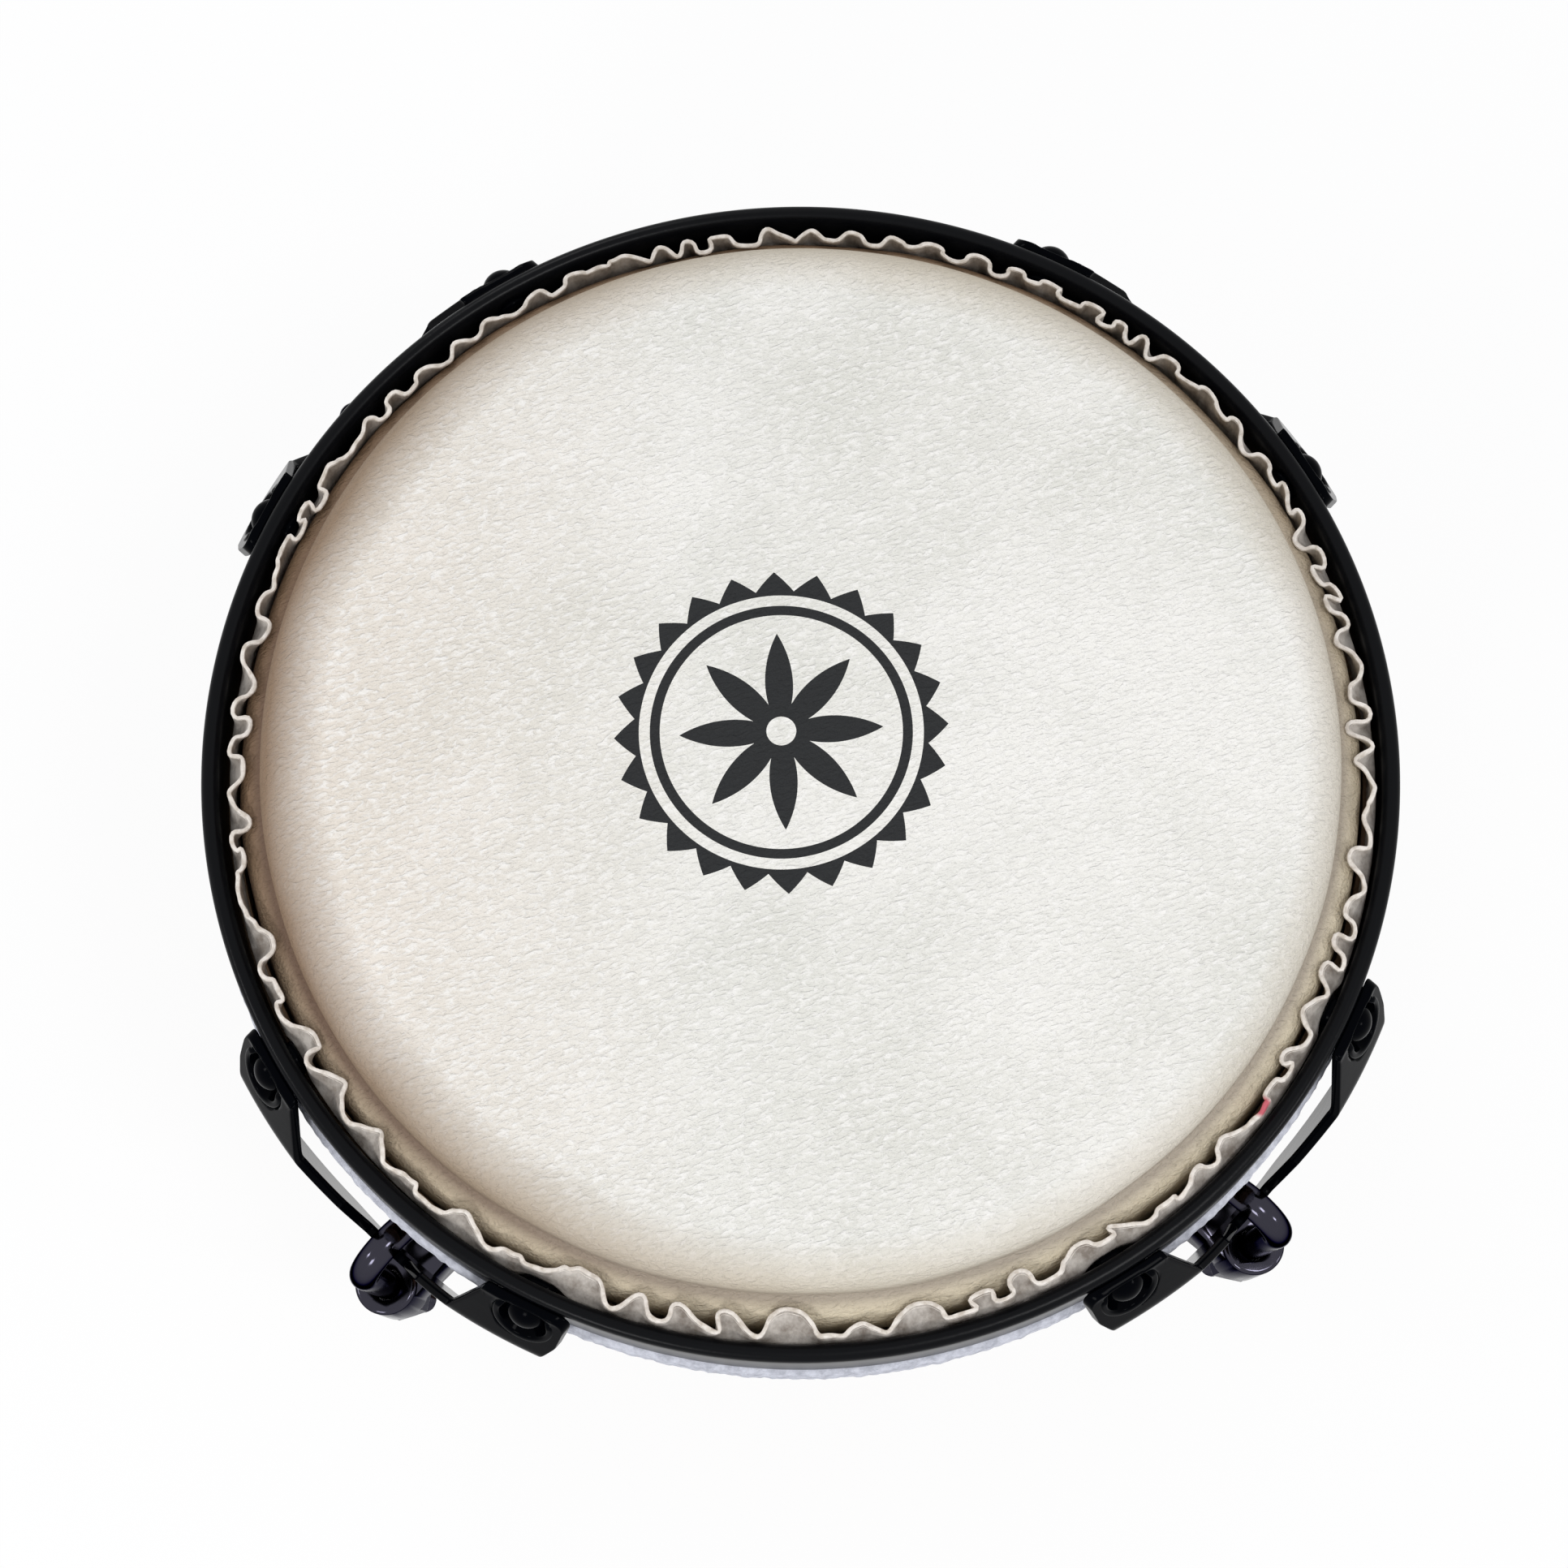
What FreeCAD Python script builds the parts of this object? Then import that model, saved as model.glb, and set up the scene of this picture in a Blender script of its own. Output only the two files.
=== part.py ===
import FreeCAD, Part
import math
import os

from FreeCAD import Vector

# One hand drum of a bongo pair (the larger, "hembra" drum): a staved wooden shell, a rawhide head
# lapped round a flesh hoop, a steel counterhoop with four riveted lug brackets, and four J-hook
# tuning rods that pull the counterhoop down towards cast lugs screwed to the shell.
#
# Millimetres.  Z is up, the origin is the centre of the shell's open bottom rim, on the surface
# that the drum stands on.  Every lug group is built on the +X side and turned to its own place.

# ---- Driving dimensions: shell ----
SHELL_HEIGHT = 165.0
SHELL_TOP_RADIUS = 108.0
SHELL_BOTTOM_RADIUS = 94.0
SHELL_BELLY = 1.5               # how far the wall bows out of a straight taper at half height
SHELL_WALL = 11.0
STAVE_COUNT = 16
BEARING_ROUND = 6.5             # outer edge that the skin is drawn over
BEARING_CHAMFER = 3.5           # inner edge of the rim
BASE_CHAMFER = 2.0              # both edges of the bottom rim

# ---- Driving dimensions: head and hoops ----
SKIN_THICKNESS = 1.2
HEAD_HEIGHT = 11.0                # shell rim above the counterhoop's top edge
HOOP_OFFSET = 14.5              # counterhoop's outer face outside the shell's rim
HOOP_THICKNESS = 3.6
HOOP_HEIGHT = 15.0
HOOP_EDGE_ROUND = 1.6
FLESH_HOOP_OFFSET = 1.5       # lapped flesh hoop beyond the counterhoop's outer face
FLESH_HOOP_WIDTH = 6.8
FLESH_HOOP_HEIGHT = 7.5
FLESH_HOOP_ROUND = 2.0
SKIRT_HEIGHT = 0.5              # skin leaves the shell's side this far above the hoop's top edge
SHOULDER_OFFSET = 4.0           # skin's shoulder outside its side
SHOULDER_DROP = 4.0             # and below the place where it leaves the side
COLLAR_DROP = 1.0               # cut edge of the skin below the hoop's top edge

# ---- Driving dimensions: lug brackets and rivets ----
LUG_COUNT = 4
FIRST_LUG_ANGLE = 45.0
PLATE_THICKNESS = 2.2
BRACKET_DROP = 1.8              # bracket's top edge below the hoop's top edge
BRACKET_HALF_WIDTH = 44.0
BRACKET_END_TAPER = 2.0         # each end is this much narrower at the outer wall
JOGGLE_START = 2.5              # plate leaves the hoop this far below the hoop's top edge
JOGGLE_HEIGHT = 15.0
JOGGLE_OFFSET = 5.9             # outer wall stands out this far from the flange
WALL_LEAN = 0.07                # outer wall runs in towards the shell, mm per mm going down
WINDOW_TOP_HALF = 26.3
WINDOW_WAIST_HALF = 20.8
SEAT_SHOULDER_HALF = 11.0
SEAT_HALF = 5.5
SEAT_SHOULDER_RISE = 11.5       # shoulders of the hook seat above the seat
SEAT_DEPTH = 41.5               # hook seat below the hoop's top edge
ARM_HEIGHT = 14.0               # plate left below the seat
ARM_BOTTOM_HALF = 13.0
END_DEPTH = 27.0                # bottom of the bracket's ends below the hoop's top edge
OUTLINE_ROUND = 3.0
RIVET_SPREAD = 16.6             # degrees from the bracket's middle to each rivet
RIVET_DEPTH = 6.7               # rivet axis below the hoop's top edge
RIVET_SHANK_RADIUS = 2.4
RIVET_DOME_RADIUS = 4.3
RIVET_DOME_HEIGHT = 3.0
RIVET_INNER_RADIUS = 3.6
RIVET_INNER_HEIGHT = 1.3
RIVET_INNER_ROUND = 0.8
RIVET_POCKET_RADIUS = 5.1
RIVET_POCKET_WALL = 1.3
RIVET_POCKET_SINK = 0.2         # flat pocket floor below the flange's curved face

# ---- Driving dimensions: tuning hooks, nuts and washers ----
ROD_RADIUS = 3.175
THREAD_PITCH_RADIUS = 2.8       # threaded end, drawn at its pitch radius
HOOK_BEND_RADIUS = 7.5          # to the rod's centre line
HOOK_TIP_LENGTH = 6.0
ROD_LEAN_DEG = 4.0
ROD_LENGTH = 81.3               # from the bend's centre to the rod's lower end
THREAD_LENGTH = 40.0
ROD_END_CHAMFER = 0.6
NUT_ACROSS_FLATS = 11.1
NUT_HEIGHT = 9.0
WASHER_RADIUS = 6.4
WASHER_THICKNESS = 1.2

# ---- Driving dimensions: cast lugs and their screws ----
BOSS_DROP = 25.3                # top of the lug's boss below the bend's centre
BOSS_HEIGHT = 19.0
BOSS_RADIUS = 6.7
BOSS_ROUND = 1.0
WEB_INSET = 3.0                 # web leaves the boss this far from either end
WEB_WIDTH = 12.4
WEB_RISE = 7.5                  # web spreads this much above and below that, at the shell
PAD_WIDTH = 25.0
PAD_OVERLAP = 6.0               # pad beyond the web, above and below
PAD_THICKNESS = 4.0
PAD_CORNER = 8.0
SCREW_RADIUS = 2.5
SCREW_DEPTH = 11.0              # into the lug
SCREW_HEAD_RADIUS = 4.6
SCREW_HEAD_HEIGHT = 3.0
SCREW_SPACING = 20.0
SCREW_WASHER_RADIUS = 7.0
SCREW_WASHER_THICKNESS = 1.2
DRIVE_ACROSS_FLATS = 3.0
DRIVE_DEPTH = 1.8

# ---- Clearances ----
SOFT_GAP = 0.3                  # skin to wood
COLLAR_GAP = 0.2                # skin collar to the rivets' inner heads
ROD_GAP = 0.45                  # rod in the lug's bore, and threaded end in the nut's bore
SCREW_GAP = 0.25                # screw in the stave's hole

# ---- Derived levels and radii ----
HOOP_TOP = SHELL_HEIGHT - HEAD_HEIGHT
HOOP_OUTER_RADIUS = SHELL_TOP_RADIUS + HOOP_OFFSET
HOOP_BOTTOM = HOOP_TOP - HOOP_HEIGHT
HOOP_INNER_RADIUS = HOOP_OUTER_RADIUS - HOOP_THICKNESS
LAP_OUTER = HOOP_OUTER_RADIUS + FLESH_HOOP_OFFSET
FLESH_OUTER = LAP_OUTER - SKIN_THICKNESS
FLESH_INNER = FLESH_OUTER - FLESH_HOOP_WIDTH
FLESH_TOP = HOOP_BOTTOM - SKIN_THICKNESS
FLESH_BOTTOM = FLESH_TOP - FLESH_HOOP_HEIGHT
LAP_INNER = FLESH_INNER - SKIN_THICKNESS
LAP_BOTTOM = FLESH_BOTTOM - SKIN_THICKNESS
COLLAR_OUTER = HOOP_INNER_RADIUS - RIVET_INNER_HEIGHT - COLLAR_GAP
COLLAR_INNER = COLLAR_OUTER - SKIN_THICKNESS
SIDE_INNER = SHELL_TOP_RADIUS + SOFT_GAP
SIDE_OUTER = SIDE_INNER + SKIN_THICKNESS
SKIRT_TOP = HOOP_TOP + SKIRT_HEIGHT
FLANGE_FACE = HOOP_OUTER_RADIUS + PLATE_THICKNESS
RIVET_FACE = FLANGE_FACE - RIVET_POCKET_SINK
WALL_FACE = FLANGE_FACE + JOGGLE_OFFSET
WALL_TOP = HOOP_TOP - JOGGLE_START - JOGGLE_HEIGHT
SEAT_Z = HOOP_TOP - SEAT_DEPTH
ARM_BOTTOM = SEAT_Z - ARM_HEIGHT
SEAT_RADIUS = WALL_FACE - WALL_LEAN * (WALL_TOP - SEAT_Z) - PLATE_THICKNESS / 2
INNER_BEND = HOOK_BEND_RADIUS - ROD_RADIUS
HOOK_DROP = math.sqrt(INNER_BEND ** 2 - (PLATE_THICKNESS / 2) ** 2)     # bend's centre below seat
BOSS_BOTTOM = BOSS_DROP + BOSS_HEIGHT
NUT_TOP = -BOSS_BOTTOM - WASHER_THICKNESS       # along the rod, from the bend's centre
PAST = 1.0                                      # cutting tools run this far past a face
REACH = 3.0 * SHELL_HEIGHT                      # longer than any piece, for cutting tools
FULL_TURN = 360.0
LUG_ANGLES = [FIRST_LUG_ANGLE + FULL_TURN * k / LUG_COUNT for k in range(LUG_COUNT)]
HALF_TURN = 180.0
SMALL = 1e-6
UP = Vector(0, 0, 1)
OUT = Vector(1, 0, 0)
CENTRE = Vector(0, 0, 0)


# ---- Helpers ----
def revolved(outline, sweep=FULL_TURN):
    """Closed outline of (radius, z) points turned about Z, centred on the +X side."""
    wire = Part.makePolygon([Vector(r, 0, z) for r, z in outline + outline[:1]])
    solid = Part.Face(wire).revolve(CENTRE, UP, sweep)
    if sweep < FULL_TURN:
        solid.rotate(CENTRE, UP, -sweep / 2)
    return solid


def rounded_outline(corners):
    """Closed wire in the YZ plane from (y, z, radius) corners, each rounded by its radius."""
    points = [Vector(0, y, z) for y, z, _ in corners]
    edges = []
    ends = []
    for i, (_, _, radius) in enumerate(corners):
        here = points[i]
        back = points[i - 1] - here
        ahead = points[(i + 1) % len(points)] - here
        half = back.getAngle(ahead) / 2
        reach = radius / math.tan(half)
        bisector = Vector(back).normalize() + Vector(ahead).normalize()
        start = here + Vector(back).normalize() * reach
        end = here + Vector(ahead).normalize() * reach
        ends.append((start, end))
        if radius > 0:
            centre = here + bisector.normalize() * (radius / math.sin(half))
            middle = centre + (here - centre).normalize() * radius
            edges.append(Part.Arc(start, middle, end).toShape())
    for i in range(len(points)):
        leave = ends[i - 1][1]
        arrive = ends[i][0]
        if leave.distanceToPoint(arrive) > SMALL:
            edges.append(Part.makeLine(leave, arrive))
    return Part.Wire(Part.__sortEdges__(edges))


def mirrored(corners):
    """Right-hand corners, top to bottom, followed by their mirror images back to the top."""
    return corners + [(-y, z, radius) for y, z, radius in reversed(corners)]


def front_prism(corners):
    """Solid whose front view, seen along X, is the rounded outline."""
    return Part.Face(rounded_outline(corners)).extrude(OUT * REACH)


def radial_cylinder(radius, start, length, z):
    """Cylinder pointing outwards along X, from start."""
    return Part.makeCylinder(radius, length, Vector(start, 0, z), OUT)


def turned(shape, angle):
    """Copy of a shape turned about the drum's axis."""
    copy = shape.copy()
    copy.rotate(CENTRE, UP, angle)
    return copy


def in_place_of_rod(shape):
    """Move a shape from the rod's own frame to the drum's.

    In the rod's frame the rod runs along Z and the centre of its bend lies on -X, at level 0.
    The bend's centre goes under the middle of the bracket's plate, and the rod leans about it.
    """
    shape.translate(Vector(HOOK_BEND_RADIUS, 0, 0))
    shape.rotate(CENTRE, Vector(0, 1, 0), ROD_LEAN_DEG)
    shape.translate(Vector(SEAT_RADIUS, 0, SEAT_Z - HOOK_DROP))
    return shape


def rod_point(along):
    """Point on the rod's axis, in the drum's frame, from its place along the rod."""
    return in_place_of_rod(Part.Vertex(0, 0, along)).Point


def rod_bore(radius):
    """Cutting cylinder along the whole rod."""
    return in_place_of_rod(Part.makeCylinder(radius, REACH, Vector(0, 0, -REACH / 2)))


def closed_rims(shape, axis, level):
    """Circular edges of a shape that lie wholly at one level of an axis, "X" or "Z"."""
    rims = []
    for edge in shape.Edges:
        box = edge.BoundBox
        low, high = (box.XMin, box.XMax) if axis == "X" else (box.ZMin, box.ZMax)
        if edge.Closed and high - low < SMALL and abs(high - level) < SMALL:
            rims.append(edge)
    return rims


def hexagon(across_flats):
    """Corners of a closed hexagon round the origin, as pairs."""
    corner = across_flats / math.sqrt(3)
    angles = [math.radians(FULL_TURN * k / 6) for k in range(7)]
    return [(corner * math.cos(angle), corner * math.sin(angle)) for angle in angles]


def shell_radius(z):
    """Outer radius of the shell at a height: a straight taper, bowed out by a parabola."""
    share = z / SHELL_HEIGHT
    taper = SHELL_BOTTOM_RADIUS + (SHELL_TOP_RADIUS - SHELL_BOTTOM_RADIUS) * share
    return taper + 4 * SHELL_BELLY * share * (1 - share)


def wall_curve(inset, low, high):
    """Edge of the shell's wall, bowed like the staves, a given depth inside the outer face."""
    middle = (low + high) / 2
    points = [Vector(shell_radius(z) - inset, 0, z) for z in (low, middle, high)]
    return Part.Arc(*points).toShape()


def polyline(*points):
    """Straight edges through (radius, z) points."""
    vectors = [Vector(r, 0, z) for r, z in points]
    return [Part.makeLine(a, b) for a, b in zip(vectors, vectors[1:])]


def swept_outline(edges):
    """Edges of a closed profile turned into a full ring."""
    wire = Part.Wire(Part.__sortEdges__(edges))
    return Part.Face(wire).revolve(CENTRE, UP, FULL_TURN)


# ---- Shell ----
def shell_ring():
    """Whole wall of the shell, before it is divided into staves."""
    outer_top = SHELL_HEIGHT - BEARING_ROUND
    inner_top = SHELL_HEIGHT - BEARING_CHAMFER
    rim_outer = shell_radius(SHELL_HEIGHT) - BEARING_ROUND
    rim_inner = shell_radius(SHELL_HEIGHT) - SHELL_WALL + BEARING_CHAMFER
    side = shell_radius(outer_top)
    swing = BEARING_ROUND * (1 - math.sqrt(0.5))
    shoulder = Part.Arc(
        Vector(side, 0, outer_top),
        Vector(shell_radius(SHELL_HEIGHT) - swing, 0, SHELL_HEIGHT - swing),
        Vector(rim_outer, 0, SHELL_HEIGHT),
    ).toShape()
    edges = [
        wall_curve(0.0, BASE_CHAMFER, outer_top),
        shoulder,
        wall_curve(SHELL_WALL, BASE_CHAMFER, inner_top),
    ]
    edges += polyline(
        (rim_outer, SHELL_HEIGHT),
        (rim_inner, SHELL_HEIGHT),
        (shell_radius(inner_top) - SHELL_WALL, inner_top),
    )
    edges += polyline(
        (shell_radius(BASE_CHAMFER) - SHELL_WALL, BASE_CHAMFER),
        (SHELL_BOTTOM_RADIUS - SHELL_WALL + BASE_CHAMFER, 0),
        (SHELL_BOTTOM_RADIUS - BASE_CHAMFER, 0),
        (shell_radius(BASE_CHAMFER), BASE_CHAMFER),
    )
    return swept_outline(edges)


def screw_levels():
    """Heights of the two screws of a lug, either side of its boss's middle."""
    middle = rod_point(-BOSS_DROP - BOSS_HEIGHT / 2).z
    return [middle - SCREW_SPACING / 2, middle + SCREW_SPACING / 2]


def screw_seat(z):
    """Radius of the flat spot face that a screw's washer bears on, inside the shell."""
    lowest = shell_radius(z - SCREW_WASHER_RADIUS) - SHELL_WALL
    highest = shell_radius(z + SCREW_WASHER_RADIUS) - SHELL_WALL
    return max(lowest, highest) + SCREW_GAP


def shell_staves():
    """Staves of the shell, drilled and spot-faced for the lugs' screws."""
    ring = shell_ring()
    for angle in LUG_ANGLES:
        for z in screw_levels():
            hole = radial_cylinder(SCREW_RADIUS + SCREW_GAP, 0, REACH, z)
            spot = radial_cylinder(SCREW_WASHER_RADIUS + SCREW_GAP, 0, screw_seat(z), z)
            ring = ring.cut(turned(hole.fuse(spot), angle))
    step = FULL_TURN / STAVE_COUNT
    top = SHELL_HEIGHT + PAST
    wedge = revolved([(0, -PAST), (REACH, -PAST), (REACH, top), (0, top)], step)
    staves = [ring.common(turned(wedge, FIRST_LUG_ANGLE + step * k)) for k in range(STAVE_COUNT)]
    return Part.makeCompound([solid for stave in staves for solid in stave.Solids])


# ---- Head ----
def drum_head():
    """Playing surface of the rawhide head and the side that is drawn down over the bearing edge."""
    inner_round = BEARING_ROUND + SOFT_GAP
    outer_round = inner_round + SKIN_THICKNESS
    under = SHELL_HEIGHT + SOFT_GAP
    crown = under + SKIN_THICKNESS
    bend_z = under - inner_round
    bend_r = SIDE_INNER - inner_round

    def bend(radius):
        """Quarter round of the skin over the bearing edge."""
        swing = radius * math.sqrt(0.5)
        return Part.Arc(
            Vector(bend_r + radius, 0, bend_z),
            Vector(bend_r + swing, 0, bend_z + swing),
            Vector(bend_r, 0, bend_z + radius),
        ).toShape()

    edges = [bend(inner_round), bend(outer_round)]
    edges += polyline((bend_r, under), (0, under), (0, crown), (bend_r, crown))
    edges += polyline(
        (SIDE_INNER, bend_z), (SIDE_INNER, SKIRT_TOP), (SIDE_OUTER, SKIRT_TOP), (SIDE_OUTER, bend_z)
    )
    return swept_outline(edges)


def head_skirt():
    """Stretch of the skin between the shell's side and the flesh hoop, with a shoulder."""
    shoulder_z = SKIRT_TOP - SHOULDER_DROP
    return revolved([
        (SIDE_INNER, SKIRT_TOP),
        (SIDE_OUTER, SKIRT_TOP),
        (SIDE_OUTER + SHOULDER_OFFSET, shoulder_z),
        (FLESH_INNER, FLESH_TOP),
        (LAP_INNER, FLESH_TOP),
        (SIDE_INNER + SHOULDER_OFFSET, shoulder_z - SKIN_THICKNESS / 2),
        (SIDE_INNER, SKIRT_TOP - SKIN_THICKNESS),
    ])


def head_tuck():
    """Skin lapped under, round and over the flesh hoop, and its collar inside the counterhoop."""
    collar_top = HOOP_TOP - COLLAR_DROP
    return revolved([
        (LAP_INNER, FLESH_TOP),
        (LAP_INNER, LAP_BOTTOM),
        (LAP_OUTER, LAP_BOTTOM),
        (LAP_OUTER, HOOP_BOTTOM),
        (COLLAR_OUTER, HOOP_BOTTOM),
        (COLLAR_OUTER, collar_top),
        (COLLAR_INNER, collar_top),
        (COLLAR_INNER, FLESH_TOP),
        (FLESH_OUTER, FLESH_TOP),
        (FLESH_OUTER, FLESH_BOTTOM),
        (FLESH_INNER, FLESH_BOTTOM),
        (FLESH_INNER, FLESH_TOP),
    ])


def flesh_hoop():
    """Ring that the skin is lapped round, its four edges rounded."""
    ring = revolved([
        (FLESH_INNER, FLESH_BOTTOM),
        (FLESH_OUTER, FLESH_BOTTOM),
        (FLESH_OUTER, FLESH_TOP),
        (FLESH_INNER, FLESH_TOP),
    ])
    rims = [e for e in ring.Edges if e.Closed]
    return ring.makeFillet(FLESH_HOOP_ROUND, rims)


# ---- Counterhoop, brackets and rivets ----
def rivet_places():
    """Angles of a bracket's two rivets from the bracket's middle."""
    return [-RIVET_SPREAD, RIVET_SPREAD]


def rivet_axis_tool(radius, start, length):
    """Cylinders along both rivet axes of the bracket on the +X side."""
    tool = radial_cylinder(radius, start, length, HOOP_TOP - RIVET_DEPTH)
    return [turned(tool, angle) for angle in rivet_places()]


def counterhoop():
    """Rolled steel band, rounded at its top edge and drilled for the rivets."""
    band = revolved([
        (HOOP_INNER_RADIUS, HOOP_BOTTOM),
        (HOOP_OUTER_RADIUS, HOOP_BOTTOM),
        (HOOP_OUTER_RADIUS, HOOP_TOP),
        (HOOP_INNER_RADIUS, HOOP_TOP),
    ])
    band = band.makeFillet(HOOP_EDGE_ROUND, closed_rims(band, "Z", HOOP_TOP))
    for angle in LUG_ANGLES:
        for hole in rivet_axis_tool(RIVET_SHANK_RADIUS, 0, REACH):
            band = band.cut(turned(hole, angle))
    return band


def bracket_face():
    """Outer face of the bracket's plate, from its top edge down past its lowest point."""
    low = ARM_BOTTOM - PAST
    return [
        (FLANGE_FACE, HOOP_TOP - BRACKET_DROP),
        (FLANGE_FACE, HOOP_TOP - JOGGLE_START),
        (WALL_FACE, WALL_TOP),
        (WALL_FACE - WALL_LEAN * (WALL_TOP - low), low),
    ]


def lug_bracket():
    """Pressed steel bracket: two riveted ears, a joggle clear of the flesh hoop, and a hook seat."""
    face = bracket_face()
    bend_drop = PLATE_THICKNESS * math.tan(math.atan2(JOGGLE_OFFSET, JOGGLE_HEIGHT) / 2)
    back = [(r - PLATE_THICKNESS, z) for r, z in face]
    back[1] = (back[1][0], back[1][1] - bend_drop)
    back[2] = (back[2][0], back[2][1] - bend_drop)
    middle = [(r - PLATE_THICKNESS / 2, z) for r, z in face[1:]]
    plate = revolved(face + back[::-1], HALF_TURN)
    backing = revolved(middle + [(middle[0][0], middle[-1][1])], HALF_TURN)
    pocket_z = HOOP_TOP - RIVET_DEPTH
    outer = RIVET_POCKET_RADIUS + RIVET_POCKET_WALL
    for angle in rivet_places():
        cup = radial_cylinder(outer, HOOP_OUTER_RADIUS, REACH, pocket_z)
        plate = plate.fuse(turned(cup, angle).common(backing))
    for pocket in rivet_axis_tool(RIVET_POCKET_RADIUS, RIVET_FACE, REACH):
        plate = plate.cut(pocket)
    for hole in rivet_axis_tool(RIVET_SHANK_RADIUS, 0, REACH):
        plate = plate.cut(hole)
    top = HOOP_TOP - BRACKET_DROP
    lower_half = BRACKET_HALF_WIDTH - BRACKET_END_TAPER
    outline = mirrored([
        (BRACKET_HALF_WIDTH, top, OUTLINE_ROUND / 2),
        (BRACKET_HALF_WIDTH, HOOP_TOP - RIVET_DEPTH, OUTLINE_ROUND),
        (lower_half, HOOP_TOP - END_DEPTH, 2 * OUTLINE_ROUND),
        (ARM_BOTTOM_HALF, ARM_BOTTOM, 2 * OUTLINE_ROUND),
    ])
    window = mirrored([
        (WINDOW_TOP_HALF, HOOP_TOP + PAST, 0),
        (WINDOW_TOP_HALF, HOOP_TOP - JOGGLE_START, OUTLINE_ROUND),
        (WINDOW_WAIST_HALF, WALL_TOP - PAST, OUTLINE_ROUND),
        (SEAT_SHOULDER_HALF, SEAT_Z + SEAT_SHOULDER_RISE, OUTLINE_ROUND),
        (SEAT_HALF, SEAT_Z, OUTLINE_ROUND / 2),
    ])
    return plate.common(front_prism(outline)).cut(front_prism(window))


def rivet():
    """Rivet on the +X axis: outer dome, shank, and the flat head closed inside the hoop."""
    dome_radius = (RIVET_DOME_RADIUS ** 2 + RIVET_DOME_HEIGHT ** 2) / (2 * RIVET_DOME_HEIGHT)
    z = HOOP_TOP - RIVET_DEPTH
    ball = Part.makeSphere(dome_radius, Vector(RIVET_FACE + RIVET_DOME_HEIGHT - dome_radius, 0, z))
    dome = ball.common(radial_cylinder(dome_radius, RIVET_FACE, dome_radius, z))
    inner_start = HOOP_INNER_RADIUS - RIVET_INNER_HEIGHT
    shank = radial_cylinder(RIVET_SHANK_RADIUS, inner_start, RIVET_FACE - inner_start, z)
    inner = radial_cylinder(RIVET_INNER_RADIUS, inner_start, RIVET_INNER_HEIGHT, z)
    inner = inner.makeFillet(RIVET_INNER_ROUND, closed_rims(inner, "X", inner_start))
    inner = inner.common(Part.makeCylinder(HOOP_INNER_RADIUS, REACH))
    return dome.fuse(shank).fuse(inner).removeSplitter()


def bracket_rivets():
    """The two rivets of a bracket."""
    return Part.makeCompound([turned(rivet(), angle) for angle in rivet_places()])


# ---- Tuning hooks, nuts and washers: built in the rod's own frame ----
def tuning_hook():
    """Round rod bent into a J over the bracket's seat, with a threaded lower end."""
    bend = Part.makeTorus(HOOK_BEND_RADIUS, ROD_RADIUS, OUT * -HOOK_BEND_RADIUS, Vector(0, 1, 0))
    bend = bend.common(Part.makeBox(REACH, REACH, REACH, Vector(-REACH / 2, -REACH / 2, 0)))
    thread_top = THREAD_LENGTH - ROD_LENGTH
    shank = Part.makeCylinder(ROD_RADIUS, -thread_top, UP * thread_top)
    thread = Part.makeCylinder(THREAD_PITCH_RADIUS, THREAD_LENGTH, UP * -ROD_LENGTH)
    thread = thread.makeChamfer(ROD_END_CHAMFER, closed_rims(thread, "Z", -ROD_LENGTH))
    tip_place = Vector(-2 * HOOK_BEND_RADIUS, 0, -HOOK_TIP_LENGTH)
    tip = Part.makeCylinder(ROD_RADIUS, HOOK_TIP_LENGTH, tip_place)
    tip = tip.makeFillet(ROD_RADIUS / 2, closed_rims(tip, "Z", -HOOK_TIP_LENGTH))
    return in_place_of_rod(bend.fuse([shank, thread, tip]).removeSplitter())


def nut_washer():
    """Flat washer under the lug's boss."""
    disc = Part.makeCylinder(WASHER_RADIUS, WASHER_THICKNESS, UP * NUT_TOP)
    return in_place_of_rod(disc).cut(rod_bore(THREAD_PITCH_RADIUS + ROD_GAP))


def tuning_nut():
    """Hexagon nut that draws the rod down, chamfered at both ends."""
    low = NUT_TOP - NUT_HEIGHT
    corners = [Vector(x, y, low) for x, y in hexagon(NUT_ACROSS_FLATS)]
    nut = Part.Face(Part.makePolygon(corners)).extrude(UP * NUT_HEIGHT)
    face = NUT_ACROSS_FLATS / 2
    lower_cone = Part.makeCone(face, face + REACH, REACH / 2, UP * low)
    upper_cone = Part.makeCone(face + REACH, face, REACH / 2, UP * (NUT_TOP - REACH / 2))
    nut = nut.common(lower_cone).common(upper_cone)
    return in_place_of_rod(nut).cut(rod_bore(THREAD_PITCH_RADIUS + ROD_GAP))


# ---- Cast lugs and their screws ----
def lug_boss():
    """Round boss that the rod runs through."""
    boss = Part.makeCylinder(BOSS_RADIUS, BOSS_HEIGHT, UP * -BOSS_BOTTOM)
    ends = closed_rims(boss, "Z", -BOSS_DROP) + closed_rims(boss, "Z", -BOSS_BOTTOM)
    return in_place_of_rod(boss.makeFillet(BOSS_ROUND, ends))


def web_ends():
    """Highest and lowest points of the web on the rod's axis."""
    return rod_point(-BOSS_DROP - WEB_INSET), rod_point(WEB_INSET - BOSS_BOTTOM)


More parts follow.
